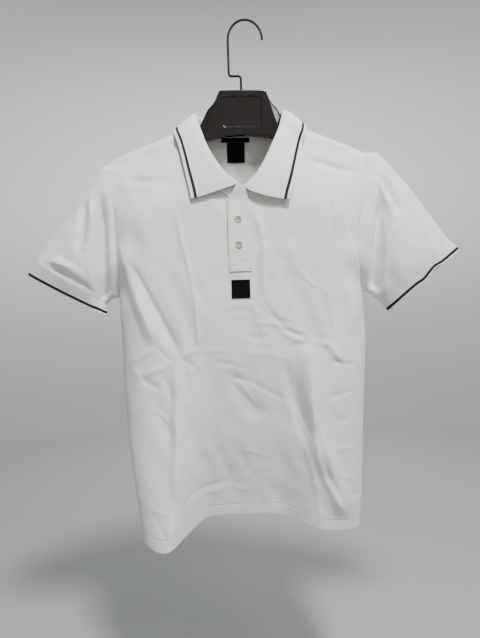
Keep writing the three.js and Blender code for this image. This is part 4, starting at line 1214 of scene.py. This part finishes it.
tab = declare(collar_tab(), "collar", "rib_knit")
placket_top = declare(placket("placket_top_cloth", -1), "placket_top", "cotton")
placket_under = declare(placket("placket_under_cloth", 1), "placket_under", "cotton")
patch = sewn_on("patch", "chest_patch", -1, PATCH, FRONT_CREASES)
tape = sewn_on("tape", "neck_tape", 1, NECK_TAPE)
label = sewn_on("label", "size_label", 1, SIZE_LABEL)


def button(index):
    """A round button with a raised rim."""
    radius, thick = BUTTON["radius"] * MM, BUTTON["thick"] * MM
    bm = bmesh.new()
    bmesh.ops.create_cone(bm, cap_ends=True, segments=48, radius1=radius, radius2=radius, depth=thick)
    rims = [edge for edge in bm.edges if edge.calc_length() < radius / 2]
    bmesh.ops.bevel(bm, geom=rims, affect="EDGES", offset=thick * BUTTON["round"], segments=4,
                    profile=0.5, material=-1)
    top = max(bm.faces, key=lambda face: face.calc_center_median().z)
    bmesh.ops.inset_region(bm, faces=[top], thickness=radius * BUTTON["rim"])
    bmesh.ops.inset_region(bm, faces=[top], thickness=radius * BUTTON["slope"],
                           depth=-BUTTON["dish"] * MM)
    seat = body_point(-1, BUTTON["x"], BUTTON["first"] - index * BUTTON["pitch"])
    at = (seat + np.array([SHIRT_X, -BUTTON["off"] - BUTTON["thick"] / 2, -HOOK_REST])) * MM
    facing = Matrix.Translation(at) @ Matrix.Rotation(pi / 2, 4, "X")
    bmesh.ops.transform(bm, matrix=facing, verts=bm.verts)
    shown = new_object(f"button_{index + 1}_disc", bm)
    corners = np.array([vert.co for vert in shown.data.vertices]) - at
    add_uv(shown.data, corners[:, [0, 2]])
    shade(shown, BUTTON_CREASE)
    declare(shown, f"button_{index + 1}", "pearl")


for index in range(2):
    button(index)

# --------------------------------------------------------------------------- hanger


HANGER_TOP = table(["out", "z"], [
    [0, -110], [37.5, -110], [41, -111.5], [44, -117.5], [47, -125.5], [51, -132],
    [56, -138.5], [61, -143.8], [65, -151], [69, -159.5], [73, -167.5], [76.5, -173],
    [80, -175.5], [84, -176.5],
])
hanger_top = through(HANGER_TOP, "out", "z")
CORNER_CELLS, FACE_CELLS = 6, 70
PLATE_END = 90
ARM = {"from": 60, "over": 40, "widen_from": 56, "widen_over": 50, "arch_z": -189.5,
       "arch_drop": 8.5, "arch_out": 64, "plate_corner": 3, "corner": 10, "corner_most": 0.95,
       "tip": 10, "tip_thin": 0.35, "tip_low": 0.45, "face": 0.8}


def recess_depth(x, z):
    """How deep the plate's rounded recess is at x and z."""
    over = []
    for value, low, high in ((x, "left", "right"), (z, "bottom", "top")):
        half = (RECESS[high] - RECESS[low]) / 2 - RECESS["corner"]
        over.append(np.maximum(0, np.abs(value - (RECESS[low] + RECESS[high]) / 2) - half))
    inside = RECESS["corner"] - np.hypot(*over)
    return RECESS["depth"] * smooth(inside / RECESS["wall"])


def flare_depth(out, z):
    """How far the face falls back outside the crease where the plate flares into an arm."""
    crease = FLARE["crease"] + FLARE["splay"] * np.maximum(0, FLARE["from_z"] - z)
    fallen = np.clip(FLARE["slope"] * (out - crease), 0, FLARE["most"])
    return fallen * (1 - smooth((out - FLARE["end"]) / FLARE["ending"]))


def hanger_section(x):
    """A ring of points round the hanger's body at x."""
    out = abs(x)
    straight = HANGER["peak"] - HANGER["slope"] * hypot(out, HANGER["round"]) - HANGER["under_cloth"]
    top = hanger_top(out) if out < HANGER_TOP["out"][-1] else straight
    arch_foot = ARM["arch_z"] - ARM["arch_drop"] * (out / ARM["arch_out"]) ** 2
    into_arm = smooth((out - ARM["from"]) / ARM["over"])
    foot = mix(arch_foot, straight - HANGER["arm_depth"], into_arm)
    end = quarter((HANGER["half_span"] - out) / ARM["tip"])
    widened = smooth((out - ARM["widen_from"]) / ARM["widen_over"])
    half = mix(HANGER["plate_half"], HANGER["arm_half"], widened)
    half *= mix(ARM["tip_thin"], 1, end)
    middle, tall = (top + foot) / 2, (top - foot) / 2 * mix(ARM["tip_low"], 1, end)
    round_most = mix(ARM["plate_corner"], ARM["corner"], into_arm)
    corner = min(half * ARM["corner_most"], round_most, tall * ARM["corner_most"])
    ys, zs = [], []
    for side_y, side_z, turn in ((-1, 1, 1), (-1, -1, 2), (1, -1, 3), (1, 1, 0)):
        angles = (turn + evenly(CORNER_CELLS)) * pi / 2
        ys.append(side_y * (half - corner) + corner * np.cos(angles))
        zs.append(middle + side_z * (tall - corner) + corner * np.sin(angles))
    down_face = evenly(FACE_CELLS)[1:-1]
    for line in (ys, zs):
        line.insert(1, mix(line[0][-1], line[1][0], down_face))
    y, z = np.concatenate(ys), np.concatenate(zs)
    carved = recess_depth(x, z) * (out < RECESS["end"]) + flare_depth(out, z)
    return point(x, np.where(y < -half * ARM["face"], y + carved, y), z)


def hanger_stations():
    """Where the sections are: close on the plate and at the tips, and far apart between."""
    plate = np.arange(0, PLATE_END, 1.0)
    arm = np.arange(PLATE_END, HANGER["half_span"] - ARM["tip"], 4.0)
    tip = HANGER["half_span"] - ARM["tip"] * (1 - np.sin(np.linspace(0, pi / 2, 12))[:-1])
    half = np.concatenate([plate, arm, tip, [HANGER["half_span"]]])
    return np.concatenate([-half[:0:-1], half])


def hanger_body():
    grid = np.array([hanger_section(x) for x in hanger_stations()])
    turn = HANGER["tilt"]
    x = grid[..., 0] * cos(turn) + grid[..., 2] * sin(turn) + HANGER_X - HANGER["peak"] * turn
    z = grid[..., 2] * cos(turn) - grid[..., 0] * sin(turn)
    shown = placed_grid("hanger_moulding", close_ring(point(x, grid[..., 1], z)), 0)
    weld(shown.data, PLASTIC_WELD, fill=True)
    shade(shown, HANGER_CREASE)
    return declare(shown, "hanger_body", "plastic")


def bend_points(middle_x, middle_z, start, end):
    return [(middle_x + HOOK["bend"] * cos(a), middle_z + HOOK["bend"] * sin(a))
            for a in np.linspace(start, end, 9)]


def hook_path():
    """The wire's middle line: out of the plate, through a jog, up and over the arch."""
    bend, half, jog = HOOK["bend"], HOOK["arch_half"], HOOK["jog"]
    spring = HOOK_REST + HOOK["wire"] / 2 - HOOK["arch_rise"]
    path = [(HOOK["stem_x"], HOOK["foot"])]
    path += bend_points(HOOK["stem_x"] - bend, jog - bend, 0, pi / 2)
    path += bend_points(bend - half, jog + bend, 1.5 * pi, pi)
    path += [(half * cos(a), spring + HOOK["arch_rise"] * sin(a)) for a in np.linspace(pi, 0, 49)]
    return path


def hanger_hook():
    line = bpy.data.curves.new("hook_line", "CURVE")
    line.dimensions = "3D"
    line.bevel_depth = HOOK["wire"] / 2 * MM
    line.bevel_resolution = 6
    line.use_fill_caps = True
    spline = line.splines.new("POLY")
    path = hook_path()
    spline.points.add(len(path) - 1)
    for at, (x, z) in zip(spline.points, path):
        at.co = (x * MM, 0, (z - HOOK_REST) * MM, 1)
    drawn = add_object("hook_line", line)
    mesh = worked_out(drawn)
    bpy.data.objects.remove(drawn)
    mesh.name = "hook_wire"
    shown = add_object("hook_wire", mesh)
    shade(shown, WIRE_CREASE)
    declare(shown, "hanger_hook", "wire")


body = hanger_body()
hanger_hook()


# -------------------------------------------------------------------------- studio

FLOOR = {"z": -1.25, "half": 6, "cells": 160, "rise": 6, "flat": 2.4, "rising": 3.4, "painted_light_z": 0.6}
# the paler colour is painted light on the rising wall, making up for the light that falls off there
FLOOR_GREY = (0.38, 0.39, 0.39)
WALL_PAINTED_LIGHT = (0.86, 0.88, 0.88)
SKY = (0.95, 0.97, 1.0)


def floor_material():
    """Grey on the floor, with painted light on the wall as it rises: paler the higher it goes, away
    from the lights, to make up for the light that falls off there.
    """
    tree, surface = new_material("floor", {"Roughness": 0.9})
    height = add_node(tree, "SeparateXYZ", {0: object_place(tree)})["Z"]
    painted_light_share = ramp_between(tree, height, FLOOR["z"], FLOOR["painted_light_z"])
    feed(tree, surface["Base Color"], mix_colour(tree, painted_light_share, FLOOR_GREY, WALL_PAINTED_LIGHT))


def studio_floor():
    """A pale floor that rises all round, open above."""
    bm = bmesh.new()
    cells = FLOOR["cells"]
    bmesh.ops.create_grid(bm, x_segments=cells, y_segments=cells, size=FLOOR["half"])
    for vert in bm.verts:
        away = hypot(vert.co.x, vert.co.y)
        vert.co.z = FLOOR["z"] + FLOOR["rise"] * smooth((away - FLOOR["flat"]) / FLOOR["rising"])
    shown = new_object("studio_floor", bm)
    shown.data.shade_smooth()
    floor_material()
    shown.data.materials.append(materials["floor"])


def soft_light(name, at, target, size, power):
    lamp = bpy.data.lights.new(name, "AREA")
    lamp.shape = "DISK"
    lamp.size = size
    lamp.energy = power
    shown = add_object(name, lamp)
    shown.location = at
    shown.rotation_euler = (Vector(target) - Vector(at)).to_track_quat("-Z", "Y").to_euler()


def world_light(strength):
    world = bpy.data.worlds.new("studio")
    world.use_nodes = True
    background = world.node_tree.nodes["Background"]
    background.inputs["Color"].default_value = (*SKY, 1)
    background.inputs["Strength"].default_value = strength
    bpy.context.scene.world = world


studio_floor()
soft_light("key", at=(0.38, -1.22, 1.42), target=(-0.02, 0, -0.58), size=0.42, power=89)
soft_light("fill", at=(0.86, -0.9, 0.4), target=(0, 0, -0.45), size=0.45, power=6)
soft_light("back", at=(0.2, 1.8, 1.0), target=(0, 0, -0.5), size=1.4, power=24)
soft_light("wall", at=(0, 1.6, 1.6), target=(0, 5.2, 0.6), size=1.6, power=42)
world_light(strength=0.22)
